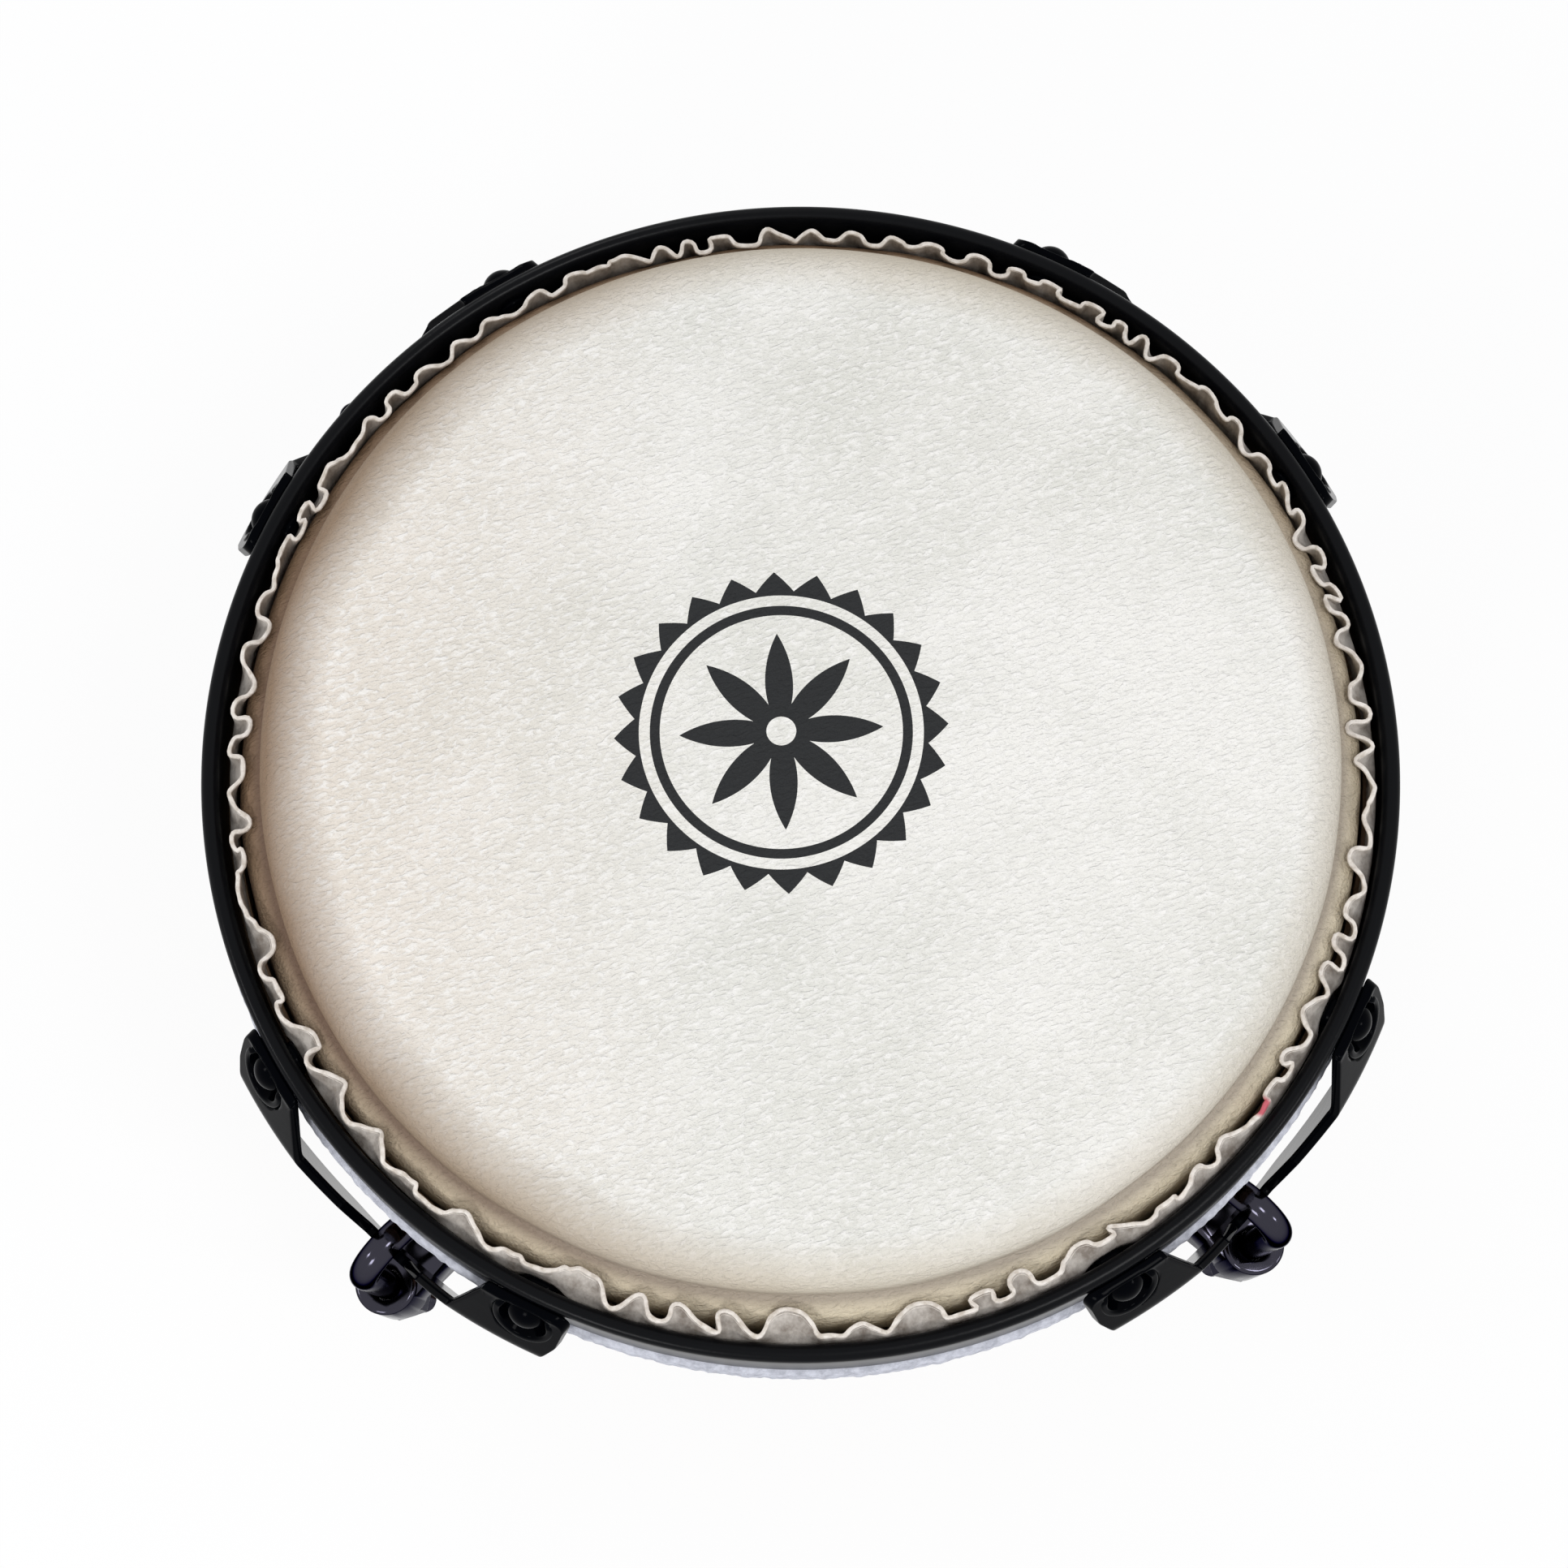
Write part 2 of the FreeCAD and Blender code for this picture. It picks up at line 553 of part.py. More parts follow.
def lug_web():
    """Web from the boss to the shell, running on inside the shell's outer face."""
    top, bottom = web_ends()
    high = top.z + WEB_RISE
    low = bottom.z - WEB_RISE
    inside = SHELL_BOTTOM_RADIUS - SHELL_WALL
    outline = [
        (top.x, top.z),
        (shell_radius(high), high),
        (inside, high),
        (inside, low),
        (shell_radius(low), low),
        (bottom.x, bottom.z),
        (top.x, top.z),
    ]
    web = Part.Face(Part.Wire(polyline(*outline))).extrude(Vector(0, WEB_WIDTH, 0))
    web.translate(Vector(0, -WEB_WIDTH / 2, 0))
    return web


def lug_pad():
    """Pad that follows the shell's outer face, rounded at its corners."""
    top, bottom = web_ends()
    high = top.z + WEB_RISE + PAD_OVERLAP
    low = bottom.z - WEB_RISE - PAD_OVERLAP
    inside = SHELL_BOTTOM_RADIUS - SHELL_WALL
    edges = [wall_curve(-PAD_THICKNESS, low - PAST, high + PAST)]
    edges += polyline(
        (shell_radius(high + PAST) + PAD_THICKNESS, high + PAST),
        (inside, high + PAST),
        (inside, low - PAST),
        (shell_radius(low - PAST) + PAD_THICKNESS, low - PAST),
    )
    half = PAD_WIDTH / 2
    corners = [(half, high), (-half, high), (-half, low), (half, low)]
    return swept_outline(edges).common(front_prism([(y, z, PAD_CORNER) for y, z in corners]))


def shell_core():
    """Everything inside the shell's outer face."""
    edges = [wall_curve(0.0, 0.0, SHELL_HEIGHT)]
    edges += polyline(
        (shell_radius(SHELL_HEIGHT), SHELL_HEIGHT),
        (0, SHELL_HEIGHT),
        (0, 0),
        (shell_radius(0), 0),
    )
    return swept_outline(edges)


def cast_lug():
    """Cast lug: pad, web and boss in one, bored for the rod and drilled for its screws."""
    lug = lug_boss().fuse([lug_web(), lug_pad()]).removeSplitter()
    lug = lug.cut(rod_bore(ROD_RADIUS + ROD_GAP)).cut(shell_core())
    for z in screw_levels():
        lug = lug.cut(radial_cylinder(SCREW_RADIUS, 0, shell_radius(z) + SCREW_DEPTH, z))
    return lug


def lug_screw(z):
    """Socket-head screw from inside the shell into the lug."""
    seat = screw_seat(z) - SCREW_WASHER_THICKNESS
    end = shell_radius(z) + SCREW_DEPTH
    start = seat - SCREW_HEAD_HEIGHT
    shank = radial_cylinder(SCREW_RADIUS, seat, end - seat, z)
    head = radial_cylinder(SCREW_HEAD_RADIUS, start, SCREW_HEAD_HEIGHT, z)
    corners = [Vector(start, across, z + up) for across, up in hexagon(DRIVE_ACROSS_FLATS)]
    socket = Part.Face(Part.makePolygon(corners)).extrude(OUT * DRIVE_DEPTH)
    return head.fuse(shank).removeSplitter().cut(socket)


def lug_screw_washer(z):
    """Washer between a screw's head and the stave."""
    start = screw_seat(z) - SCREW_WASHER_THICKNESS
    disc = radial_cylinder(SCREW_WASHER_RADIUS, start, SCREW_WASHER_THICKNESS, z)
    return disc.cut(radial_cylinder(SCREW_RADIUS, 0, REACH, z))


# ---- Export ----
def write(name, shape):
    """Write one node's STEP file."""
    shape.exportStep("parts/" + name + ".step")


def main():
    """Build every node of the drum."""
    os.makedirs("parts", exist_ok=True)
    write("shell_staves", shell_staves())
    write("drum_head", drum_head())
    write("head_skirt", head_skirt())
    write("head_tuck", head_tuck())
    write("flesh_hoop", flesh_hoop())
    write("counterhoop", counterhoop())
    at_lugs = {
        "lug_bracket": lug_bracket(),
        "bracket_rivets": bracket_rivets(),
        "tuning_hook": tuning_hook(),
        "tuning_nut": tuning_nut(),
        "nut_washer": nut_washer(),
        "cast_lug": cast_lug(),
        "lug_screws": Part.makeCompound([lug_screw(z) for z in screw_levels()]),
        "lug_screw_washers": Part.makeCompound([lug_screw_washer(z) for z in screw_levels()]),
    }
    for number, angle in enumerate(LUG_ANGLES, 1):
        for name, shape in at_lugs.items():
            write(f"{name}_{number}", turned(shape, angle))


main()
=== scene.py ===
import math

import bmesh
import bpy
import numpy as np
from mathutils import Matrix, Vector


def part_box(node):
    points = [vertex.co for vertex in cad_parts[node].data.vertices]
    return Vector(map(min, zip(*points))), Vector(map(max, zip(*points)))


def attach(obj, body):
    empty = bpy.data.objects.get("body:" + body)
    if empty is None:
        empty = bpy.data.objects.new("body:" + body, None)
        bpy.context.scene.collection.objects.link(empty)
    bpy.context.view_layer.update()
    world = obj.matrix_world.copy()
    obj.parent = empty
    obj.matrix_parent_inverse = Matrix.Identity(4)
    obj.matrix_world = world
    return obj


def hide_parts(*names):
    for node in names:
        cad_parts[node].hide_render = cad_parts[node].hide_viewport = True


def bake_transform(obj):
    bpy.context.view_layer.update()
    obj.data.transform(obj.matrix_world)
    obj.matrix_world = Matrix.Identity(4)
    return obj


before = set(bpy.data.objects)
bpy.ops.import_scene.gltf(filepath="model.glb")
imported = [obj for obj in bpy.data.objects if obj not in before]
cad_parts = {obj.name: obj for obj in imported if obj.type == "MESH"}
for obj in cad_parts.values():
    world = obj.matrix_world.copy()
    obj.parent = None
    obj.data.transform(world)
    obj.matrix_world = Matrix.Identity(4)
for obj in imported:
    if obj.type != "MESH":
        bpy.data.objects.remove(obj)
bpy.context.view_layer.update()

# Looks of one hand drum: a rawhide head lapped round a flesh hoop and crimped inside a black steel
# counterhoop, four pressed brackets with dome rivets, chrome J-hook rods, and a staved shell.
# Lengths are millimetres where a heading doesn't say otherwise; a mesh is turned to metres when it
# is made.

MM = 0.001
LUG_ANGLES = [45.0, 135.0, 225.0, 315.0]
HOOP_BODY = "counterhoop"
SHELL_BODY = "shell"


def corners_mm(node):
    """Lowest and highest corner of a CAD node, in millimetres."""
    return [np.array(corner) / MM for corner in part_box(node)]


# ---- Levels and radii, read from the frame ----
HOOP_BOTTOM, HOOP_TOP = [corner[2] for corner in corners_mm("counterhoop")]
HOOP_OUTER = corners_mm("counterhoop")[1][0]
SKIRT_TOP, CROWN = [corner[2] for corner in corners_mm("drum_head")]
SIDE_OUTER = corners_mm("drum_head")[1][0]
FLESH_TOP = corners_mm("head_skirt")[0][2]
SKIRT_OUTER = corners_mm("head_skirt")[1][0]
LAP_BOTTOM, COLLAR_TOP = [corner[2] for corner in corners_mm("head_tuck")]
LAP_OUTER = corners_mm("head_tuck")[1][0]
FLESH_BOTTOM = corners_mm("flesh_hoop")[0][2]
FLESH_OUTER = corners_mm("flesh_hoop")[1][0]

# ---- Sizes that boxes don't give; RIVET_ANGLE, LIP_SWEEP and LIP_FADE are degrees ----
STAVES = 16
HOOP_THICKNESS = 3.6
HOOP_INNER = HOOP_OUTER - HOOP_THICKNESS
HOOP_ROUND = 1.7
HOOP_FOOT_ROUND = 0.5
SKIN = 1.2
BEND_OVER_EDGE = 8.0
SHOULDER_OFFSET = 5.2
SHOULDER_DROP = 2.8
SIDE_WANDER_DROP = 4.0
SIDE_WANDER_RUN = 10.0
SKIRT_WANDER_RUN = 6.0
COLLAR_OUTER = HOOP_INNER - 1.5
STRIP_TOP = HOOP_BOTTOM + 5
FLESH_INNER = SKIRT_OUTER
FUZZ_DEPTH = 0.3
HEAD_STEP = 1.4
FOLDS = 74
COLLAR_BOTTOM = HOOP_BOTTOM + 2
CUT_TOP = COLLAR_TOP + 1.6
COLLAR_STAND = 0.15
FAR_STAND = 1.3
DENT_DEPTH = 1.45
DENT_HALF_WIDTH = 5.5
RIM_RISE = 0.18
CUT_RISE = 0.55
CUT_SHOULDER_RISE = 0.42
CUT_SUNK = -0.25
PLATE = 2.2
PLATE_ROUND = 0.55
FLANGE_FACE = HOOP_OUTER + PLATE
JOGGLE_START = 2.5
JOGGLE_HEIGHT = 15.0
JOGGLE_OFFSET = 5.9
JOGGLE_ROUND = 6.0
WALL_FACE = FLANGE_FACE + JOGGLE_OFFSET
WALL_TOP = HOOP_TOP - JOGGLE_START - JOGGLE_HEIGHT
WALL_LEAN = 0.07
WALL_RUN = 60
BRACKET_TOP = HOOP_TOP - 1.8
SEAT_Z = HOOP_TOP - 41.5
RIVET_ANGLE = 16.6
RIVET_DEPTH = 6.7
RIVET_Z = HOOP_TOP - RIVET_DEPTH
RIVET_FACE = FLANGE_FACE - 0.2
RIVET_DOME_RADIUS = 4.3
RIVET_DOME_HEIGHT = 3.0
RIVET_SHANK_RADIUS = 2.4
RIVET_HEAD_RADIUS = 3.6
RIVET_HEAD_HEIGHT = 1.3
POCKET_RADIUS = 5.1
POCKET_FLOOR_RADIUS = 6.2
POCKET_BACK_RADIUS = 7.0
POCKET_SLOPE = 0.6
POCKET_GAP = 0.02
LIP_SWEEP = (-218, 38)
LIP_FADE = 22
LIP_HEIGHT = 0.32
LIP_WIDTH = 1.5
LIP_SINK = 0.7
LIP_UNDER_FLOOR = 0.2
ROD_RADIUS = 3.175
THREAD_RADIUS = 2.8
THREAD_ROOT = THREAD_RADIUS - 0.4
THREAD_DEPTH = 0.58
THREAD_PITCH = 1.27
THREAD_LENGTH = 40.0
RUN_GAP = 0.8
THREAD_CHAMFER = 1.2
BEND_RADIUS = 7.5
TIP_LENGTH = 6.0
TIP_ROUND = 1.6
ROD_LEAN = math.radians(4.0)
ROD_LENGTH = 81.3
SEAT_RADIUS = WALL_FACE - WALL_LEAN * (WALL_TOP - SEAT_Z) - PLATE / 2
HOOK_DROP = math.sqrt((BEND_RADIUS - ROD_RADIUS) ** 2 - (PLATE / 2) ** 2)
BOSS_DROP = 25.3
BOSS_HEIGHT = 19.0
WASHER_THICKNESS = 1.2
NUT_TOP = -BOSS_DROP - BOSS_HEIGHT - WASHER_THICKNESS
NUT_HEIGHT = 9.0
NUT_FLATS = 11.1
NUT_FACE_INSET = 0.2
NUT_CHAMFER_RUN = 1.0
THREAD_BORE = THREAD_RADIUS + 0.45
CASTING_ROUND = 0.8

# ---- Crimped edge: turns and FOLD_CROWDING are radians, cuts and shares are parts of 1 ----
# far is 1 on the far side of the drum and 0 on the near side.
FAR_TURN = 0.2
FAR_DEPTH_CUT = 0.45
FAR_LEAN_CUT = 0.4
LEAN_START = 0.66
LEAN_START_CUT = 0.3
FOLD_CROWDING = 14
FOLD_CROWDING_TURN = 0.8
FOLD_DEPTH = 1.95
FOLD_DEPTH_LEAST = 0.6
FOLD_NECK = 0.45
DRIFT = 0.45
SHALLOW_TURN = math.radians(308)
SHALLOW_WIDTH = 0.5
SHALLOW_SHARE = 0.4
SHALLOW_DRIFT = 1.2
CUT_SWELL = 1.12

# ---- Wander round the drum: seed, whole wave numbers, size ----
# FOLD_PLACES is in radians and CUT_WIDTHS is a part of the skin's thickness.
SIDE_WANDER = (3, [3, 5, 7, 11, 16, 23], 0.55)
FOLD_PLACES = (11, [2, 5, 9, 14, 21, 29], 3.6)
FOLD_DEPTHS = (12, [4, 9, 15, 22, 31], 1.8)
FOLD_NECKS = (13, [3, 8, 13, 19, 27], 1.0)
CUT_HEIGHTS = (14, [3, 7, 12, 33, 66, 71], 1.5)
FOLD_LEANS = (15, [2, 5, 11, 17, 26], 2.0)
SLOW_DRIFT = (16, [2, 3, 5, 8, 13], 0.5)
CUT_WIDTHS = (17, [90, 151, 213, 290, 377], 0.16)
QUICK_DRIFT = (18, [113, 171, 229], 0.3)
LAP_FUZZ = (21, [61, 97, 138, 181, 233, 301, 367], FUZZ_DEPTH)

# ---- Printed mark (middle of the head, mm) and stamp ink (metres) ----
MARK_X = -3.7
MARK_Y = 2.0
INK_SPOT = (0.0880, -0.0764, 0.1552)

# ---- Meshes: counts of points; the others are radians, but MERGE_DISTANCE is metres ----
ARC_STEP = 0.35
MERGE_DISTANCE = 1e-6
HEAD_POINTS = 400
COLLAR_POINTS = 1440
COLLAR_ROWS = 36
LAP_POINTS = 960
HOOP_POINTS = 512
RIVET_POINTS = 48
ROD_POINTS = 28
NUT_POINTS = 96
OUTLINE_POINTS = 321
FACE_POINTS = 34
CORNER_POINTS = 4
FLAT_WITHIN = math.radians(0.5)
SHARP_FROM = math.radians(30)

# ---- View: angles are degrees; the camera's place is from the middle of the hoop's top ----
CAMERA_TILT = 15.18
CAMERA_ROLL = -0.94
CAMERA_TURN = -1.68
CAMERA_DISTANCE = 695.9
CAMERA_ASIDE = 3.3
CAMERA_BELOW = 5.6
SENSOR_WIDTH = 36.0
FOCAL_LENGTH = 78.3
FLOOR_REACH = 3000.0
FLOOR_GLOW = 0.9

# ---- Lamps: name, place and width in metres, power in watts ----
LAMP_TARGET = (0, 0, 0.14)
LAMPS = [
    ("key", (0.5, -0.5, 1.6), 0.35, 5.5),
    ("fill", (-0.6, -1.2, 1.0), 0.35, 5.0),
    ("back", (-0.4, 1.4, 1.2), 0.35, 3.0),
    ("left", (-1.2, -0.2, 0.9), 0.2, 2.0),
    ("right", (1.2, -0.6, 0.8), 0.2, 2.0),
]


# ---- Mesh helpers ----
def rounded(corners, step, closed=False):
    """Outline through corners (a, b, radius): each corner becomes a circular arc tangent to both
    of its sides, and straight runs are divided so that points lie at most step apart."""
    table = np.array(corners, float)
    tips, radii = table[:, :2], table[:, 2]
    back = np.roll(tips, 1, 0) - tips
    ahead = np.roll(tips, -1, 0) - tips
    back /= np.linalg.norm(back, axis=1)[:, None]
    ahead /= np.linalg.norm(ahead, axis=1)[:, None]
    half = np.arccos(np.clip((back * ahead).sum(1), -1, 1)) / 2
    reach = radii / np.tan(half)
    pieces = []
    for tip, radius, one, two, turn, run in zip(tips, radii, back, ahead, half, reach):
        if radius == 0:
            pieces.append(tip[None])
            continue
        middle = one + two
        centre = tip + middle / np.linalg.norm(middle) * radius / math.sin(turn)
        sweep = math.pi - 2 * turn
        count = max(3, int(math.ceil(sweep * radius / min(step, ARC_STEP * radius))) + 1)
        share = np.linspace(0, 1, count)[:, None]
        start, end = tip + one * run - centre, tip + two * run - centre
        arc = np.sin((1 - share) * sweep) * start + np.sin(share * sweep) * end
        pieces.append(centre + arc / math.sin(sweep))
    if closed:
        pieces.append(pieces[0][:1])
    line = [pieces[0]]
    for before, after in zip(pieces, pieces[1:]):
        gap = np.linalg.norm(after[0] - before[-1])
        share = np.linspace(0, 1, int(math.ceil(gap / step)) + 1)[1:-1, None]
        line += [before[-1] + share * (after[0] - before[-1]), after]
    whole = np.concatenate(line)
    return whole[:-1] if closed else whole


def resampled(line, count):
    """The same line with count points spaced evenly along it."""
    along = np.concatenate([[0], np.cumsum(np.linalg.norm(np.diff(line, axis=0), axis=1))])
    even = np.linspace(0, along[-1], count)
    return np.stack([np.interp(even, along, line[:, k]) for k in range(line.shape[1])], 1)


def revolved(profile, count):
    """Grid of points from a profile of (radius, z): x = r cos a, y = r sin a, count angles."""
    angle = np.linspace(0, 2 * math.pi, count, endpoint=False)[:, None]
    radius, height = profile[None, :, 0], profile[None, :, 1]
    return np.stack(np.broadcast_arrays(radius * np.cos(angle), radius * np.sin(angle), height), -1)


def turned(points, degrees):
    """Points turned about the drum's axis."""
    angle = math.radians(degrees)
    cosine, sine = math.cos(angle), math.sin(angle)
    return points @ np.array([[cosine, sine, 0], [-sine, cosine, 0], [0, 0, 1]])


def quads(rows, columns, wrap_rows, wrap_columns):
    """Corner numbers of the quads of a grid, wrapped round in either direction."""
    i, j = np.meshgrid(
        np.arange(rows - (not wrap_rows)), np.arange(columns - (not wrap_columns)), indexing="ij"
    )
    down, right = (i + 1) % rows, (j + 1) % columns
    corners = [i * columns + j, down * columns + j, down * columns + right, i * columns + right]
    return np.stack(corners, -1).reshape(-1, 4)


def piece(name, grids, body, material, replaced=(), crease=35.0):
    """Make one object from grids (points in mm, wrapped along rows, wrapped along columns)."""
    points, faces, first = [], [], 0
    for grid, wrap_rows, wrap_columns in grids:
        rows, columns = grid.shape[:2]
        points.append(grid.reshape(-1, 3) * MM)
        faces.append(quads(rows, columns, wrap_rows, wrap_columns) + first)
        first += rows * columns
    mesh = bpy.data.meshes.new(name)
    mesh.from_pydata(np.concatenate(points), [], np.concatenate(faces).tolist())
    work = bmesh.new()
    work.from_mesh(mesh)
    bmesh.ops.remove_doubles(work, verts=work.verts, dist=MERGE_DISTANCE)
    bmesh.ops.recalc_face_normals(work, faces=work.faces)
    work.to_mesh(mesh)
    work.free()
    mesh.shade_smooth()
    mesh.set_sharp_from_angle(angle=math.radians(crease))
    mesh.materials.append(material)
    made = bpy.data.objects.new(name, mesh)
    bpy.context.collection.objects.link(made)
    if body:
        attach(made, body)
    if replaced:
        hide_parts(*replaced)
    return made


def ripple(angle, seed, waves, size):
    """Smooth periodic wander round the drum: a sum of sines of whole wave numbers."""
    rng = np.random.default_rng(seed)
    phase = rng.uniform(0, 2 * math.pi, len(waves))
    weight = rng.uniform(0.5, 1.0, len(waves))
    total = sum(w * np.sin(k * angle + p) for k, p, w in zip(waves, phase, weight))
    return size * total / weight.sum()


# ---- Material helpers; lengths in materials are metres ----
def linear(code):
    """sRGB hex colour as linear RGBA."""
    values = [int(code[k:k + 2], 16) / 255 for k in (1, 3, 5)]
    return [v / 12.92 if v <= 0.04045 else ((v + 0.055) / 1.055) ** 2.4 for v in values] + [1.0]


def add(tree, kind, inputs=None, **settings):
    """Add one node: settings are its own properties, inputs are values or other nodes' sockets."""
    made = tree.nodes.new("ShaderNode" + kind)
    for name, value in settings.items():
        setattr(made, name, value)
    for key, value in (inputs or {}).items():
        if isinstance(value, bpy.types.NodeSocket):
            tree.links.new(value, made.inputs[key])
        else:
            made.inputs[key].default_value = value
    return made


def start_material(name, **values):
    """New material with an empty Principled shader: its tree, its shader and object coordinates."""
    material = bpy.data.materials.new(name)
    material.use_nodes = True
    tree = material.node_tree
    tree.nodes.clear()
    inputs = {key.replace("_", " "): value for key, value in values.items()}
    shader = add(tree, "BsdfPrincipled", inputs)
    add(tree, "OutputMaterial", {"Surface": shader.outputs["BSDF"]})
    place = add(tree, "TexCoord").outputs["Object"]
    return material, tree, shader, place


def noise(tree, place, scale, detail, **more):
    """Fractal noise from 0 to 1, most of it near the middle."""
    inputs = {"Vector": place, "Scale": scale, "Detail": detail, **more}
    return add(tree, "TexNoise", inputs).outputs["Fac"]


def two_tone(tree, value, start, first, end, second):
    """The first colour where the value is at most start, the second from end on."""
    made = add(tree, "ValToRGB", {"Fac": value})
    low, high = made.color_ramp.elements
    low.position, low.color = start, linear(first)
    high.position, high.color = end, linear(second)
    return made.outputs["Color"]


def mixed(tree, share, first, second):
    """The second colour by its share over the first."""
    inputs = {"Factor": share, "A": first, "B": second}
    return add(tree, "Mix", inputs, data_type="RGBA").outputs["Result"]


def ranged(tree, value, start, end, low=0.0, high=1.0):
    """From low to high while the value goes from start to end, and held outside."""
    inputs = {"Value": value, "From Min": start, "From Max": end, "To Min": low, "To Max": high}
    return add(tree, "MapRange", inputs).outputs["Result"]


def maths(tree, operation, *values, **settings):
    """Result of one Math node."""
    inputs = dict(enumerate(values))
    return add(tree, "Math", inputs, operation=operation, **settings).outputs["Value"]


def vector(tree, operation, first, second):
    """Sum or product of two vectors."""
    return add(tree, "VectorMath", {0: first, 1: second}, operation=operation).outputs["Vector"]


def measured(tree, operation, *vectors):
    """Length, distance or dot product of vectors."""
    inputs = dict(enumerate(vectors))
    return add(tree, "VectorMath", inputs, operation=operation).outputs["Value"]


def flattened(tree, place):
    """The parts X, Y and Z of a place, and its vector from the axis without the height."""
    split = add(tree, "SeparateXYZ", {"Vector": place}).outputs
    flat = add(tree, "CombineXYZ", {"X": split["X"], "Y": split["Y"]}).outputs["Vector"]
    return split, flat


def relief(tree, shader, height, strength, distance):
    """Give the shader a fine relief, as deep as distance where the height is 1."""
    bump = add(tree, "Bump", {"Height": height, "Strength": strength, "Distance": distance})
    tree.links.new(bump.outputs["Normal"], shader.inputs["Normal"])


# ---- Materials ----
def rawhide():
    """Calf rawhide, scraped, dried and finished white: matt, with a fine pebble of short ridges
    whose crests are painted paler as a highlight, and faint grey and cream clouds. Painted shade
    makes it warmer and darker towards the left, tan over the bend at its edge (darkest on the left),
    darker still in the crease at the foot of the side, and dark brown down the skirt on the far
    side, while the near side of the skirt is painted lit; a printed mark in the middle. The ridges
    are about 1.5 mm apart and twice as long as they are wide."""
    material, tree, shader, place = start_material(
        "rawhide", Roughness=0.6, Specular_IOR_Level=0.3
    )
    split, flat = flattened(tree, place)
    cloud = noise(tree, place, 15.0, 4.0, Roughness=0.6)
    base = two_tone(tree, cloud, 0.35, "#DFDED5", 0.62, "#F1EFE8")
    # Painted shade: the left side, away from the light, turns warmer and darker.
    across = ranged(tree, split["X"], -0.02, -0.115, high=0.75)
    shaded = mixed(tree, across, base, linear("#E6D8C8"))
    slanted = add(
        tree, "Mapping", {"Vector": place, "Rotation": (0, 0, 0.28), "Scale": (2.1, 0.85, 1.0)},
        vector_type="TEXTURE",
    ).outputs["Vector"]
    ridge = noise(tree, slanted, 980.0, 2.0, Distortion=0.8)
    # Painted highlight: the ridges' crests are paler, as if catching the light, on top of their
    # bump.
    ridge_highlight = ranged(tree, ridge, 0.46, 0.68, high=0.75)
    lit = mixed(tree, ridge_highlight, shaded, linear("#F7F5F0"))
    # Painted shade over the bend at the edge: a tan ring whose middle is moved right, so that it
    # reaches further in on the left.
    rim_middle = vector(tree, "ADD", flat, (-0.0025, 0.002, 0))
    reach = measured(tree, "LENGTH", rim_middle)
    wander = noise(tree, place, 22.0, 2.0)
    rim_reach = maths(tree, "MULTIPLY_ADD", wander, 0.008, reach)
    edge = ranged(tree, rim_reach, 0.102, 0.1145)
    # Painted shade: the rim and crease colours run from dark on the left to light on the right.
    lit_right = ranged(tree, split["X"], -0.1, 0.0)
    rim = mixed(tree, lit_right, linear("#8E765F"), linear("#C8BCA6"))
    rim_shaded = mixed(tree, edge, lit, rim)
    # Painted shade in the crease where the side meets the skirt.
    radius = measured(tree, "LENGTH", flat)
    inward = maths(tree, "SUBTRACT", radius, (SIDE_OUTER + 0.4) * MM)
    apart = maths(tree, "ABSOLUTE", inward)
    near = ranged(tree, apart, 0.0040, 0.0008, high=0.75)
    low = ranged(tree, split["Z"], (SKIRT_TOP + 4.5) * MM, SKIRT_TOP * MM)
    fold = maths(tree, "MULTIPLY", near, low)
    crease = mixed(tree, lit_right, linear("#735C4D"), linear("#A39788"))
    crease_shaded = mixed(tree, fold, rim_shaded, crease)
    # Painted light and shade on the skirt: lit tan on the near side, dark brown in shade on the far
    # side.
    nearer = measured(tree, "DOT_PRODUCT", flat, (0.5, -0.8, 0))
    lit_near_side = ranged(tree, nearer, -0.05, 0.085)
    tone = mixed(tree, lit_near_side, linear("#8C7259"), linear("#E2D6BC"))
    skirt = ranged(tree, radius, (SIDE_OUTER + 1.0) * MM, (SIDE_OUTER + 4.0) * MM)
    banded = mixed(tree, skirt, crease_shaded, tone)
    colour = printed_mark(tree, place, banded)
    tree.links.new(colour, shader.inputs["Base Color"])
    fine = noise(tree, place, 1700.0, 2.0)
    relief(tree, shader, maths(tree, "MULTIPLY_ADD", fine, 0.4, ridge), 0.75, 0.0009)
    return material


def printed_mark(tree, place, ground):
    """Black screen print in the middle of the head: a ring of pointed rays and an eight-ray star."""
    middle = {"Vector": place, "Location": (-MARK_X * MM, -MARK_Y * MM, 0)}
    offset = add(tree, "Mapping", middle).outputs["Vector"]
    split, flat = flattened(tree, offset)
    radius = measured(tree, "LENGTH", flat)
    angle = maths(tree, "ARCTAN2", split["Y"], split["X"])

    def star(rays, inner, outer):
        """1 inside a star: radius below inner + (outer - inner) * triangle wave of the angle."""
        wave = maths(tree, "PINGPONG", angle, math.pi / rays)
        slope = (inner - outer) * MM * rays / math.pi
        rim = maths(tree, "MULTIPLY_ADD", wave, slope, outer * MM)
        return maths(tree, "LESS_THAN", radius, rim)

    def disc(size):
        """1 inside a circle."""
        return maths(tree, "LESS_THAN", radius, size * MM)

    def minus(first, second):
        """What the first shape has and the second hasn't."""
        return maths(tree, "SUBTRACT", first, second, use_clamp=True)

    rays = minus(star(24, 29.6, 33.6), disc(28.6))
    ring = minus(disc(26.4), disc(24.4))
    centre = minus(star(8, 6.0, 20.5), disc(3.0))
    ink = maths(tree, "MAXIMUM", maths(tree, "MAXIMUM", rays, ring), centre)
    return mixed(tree, ink, ground, linear("#17191B"))


def inked(tree, place, ground):
    """The ground colour with one small red spot of stamp ink on it."""
    away = measured(tree, "DISTANCE", place, INK_SPOT)
    spot = ranged(tree, away, 0.0024, 0.0015)
    return mixed(tree, spot, ground, linear("#C8606A"))


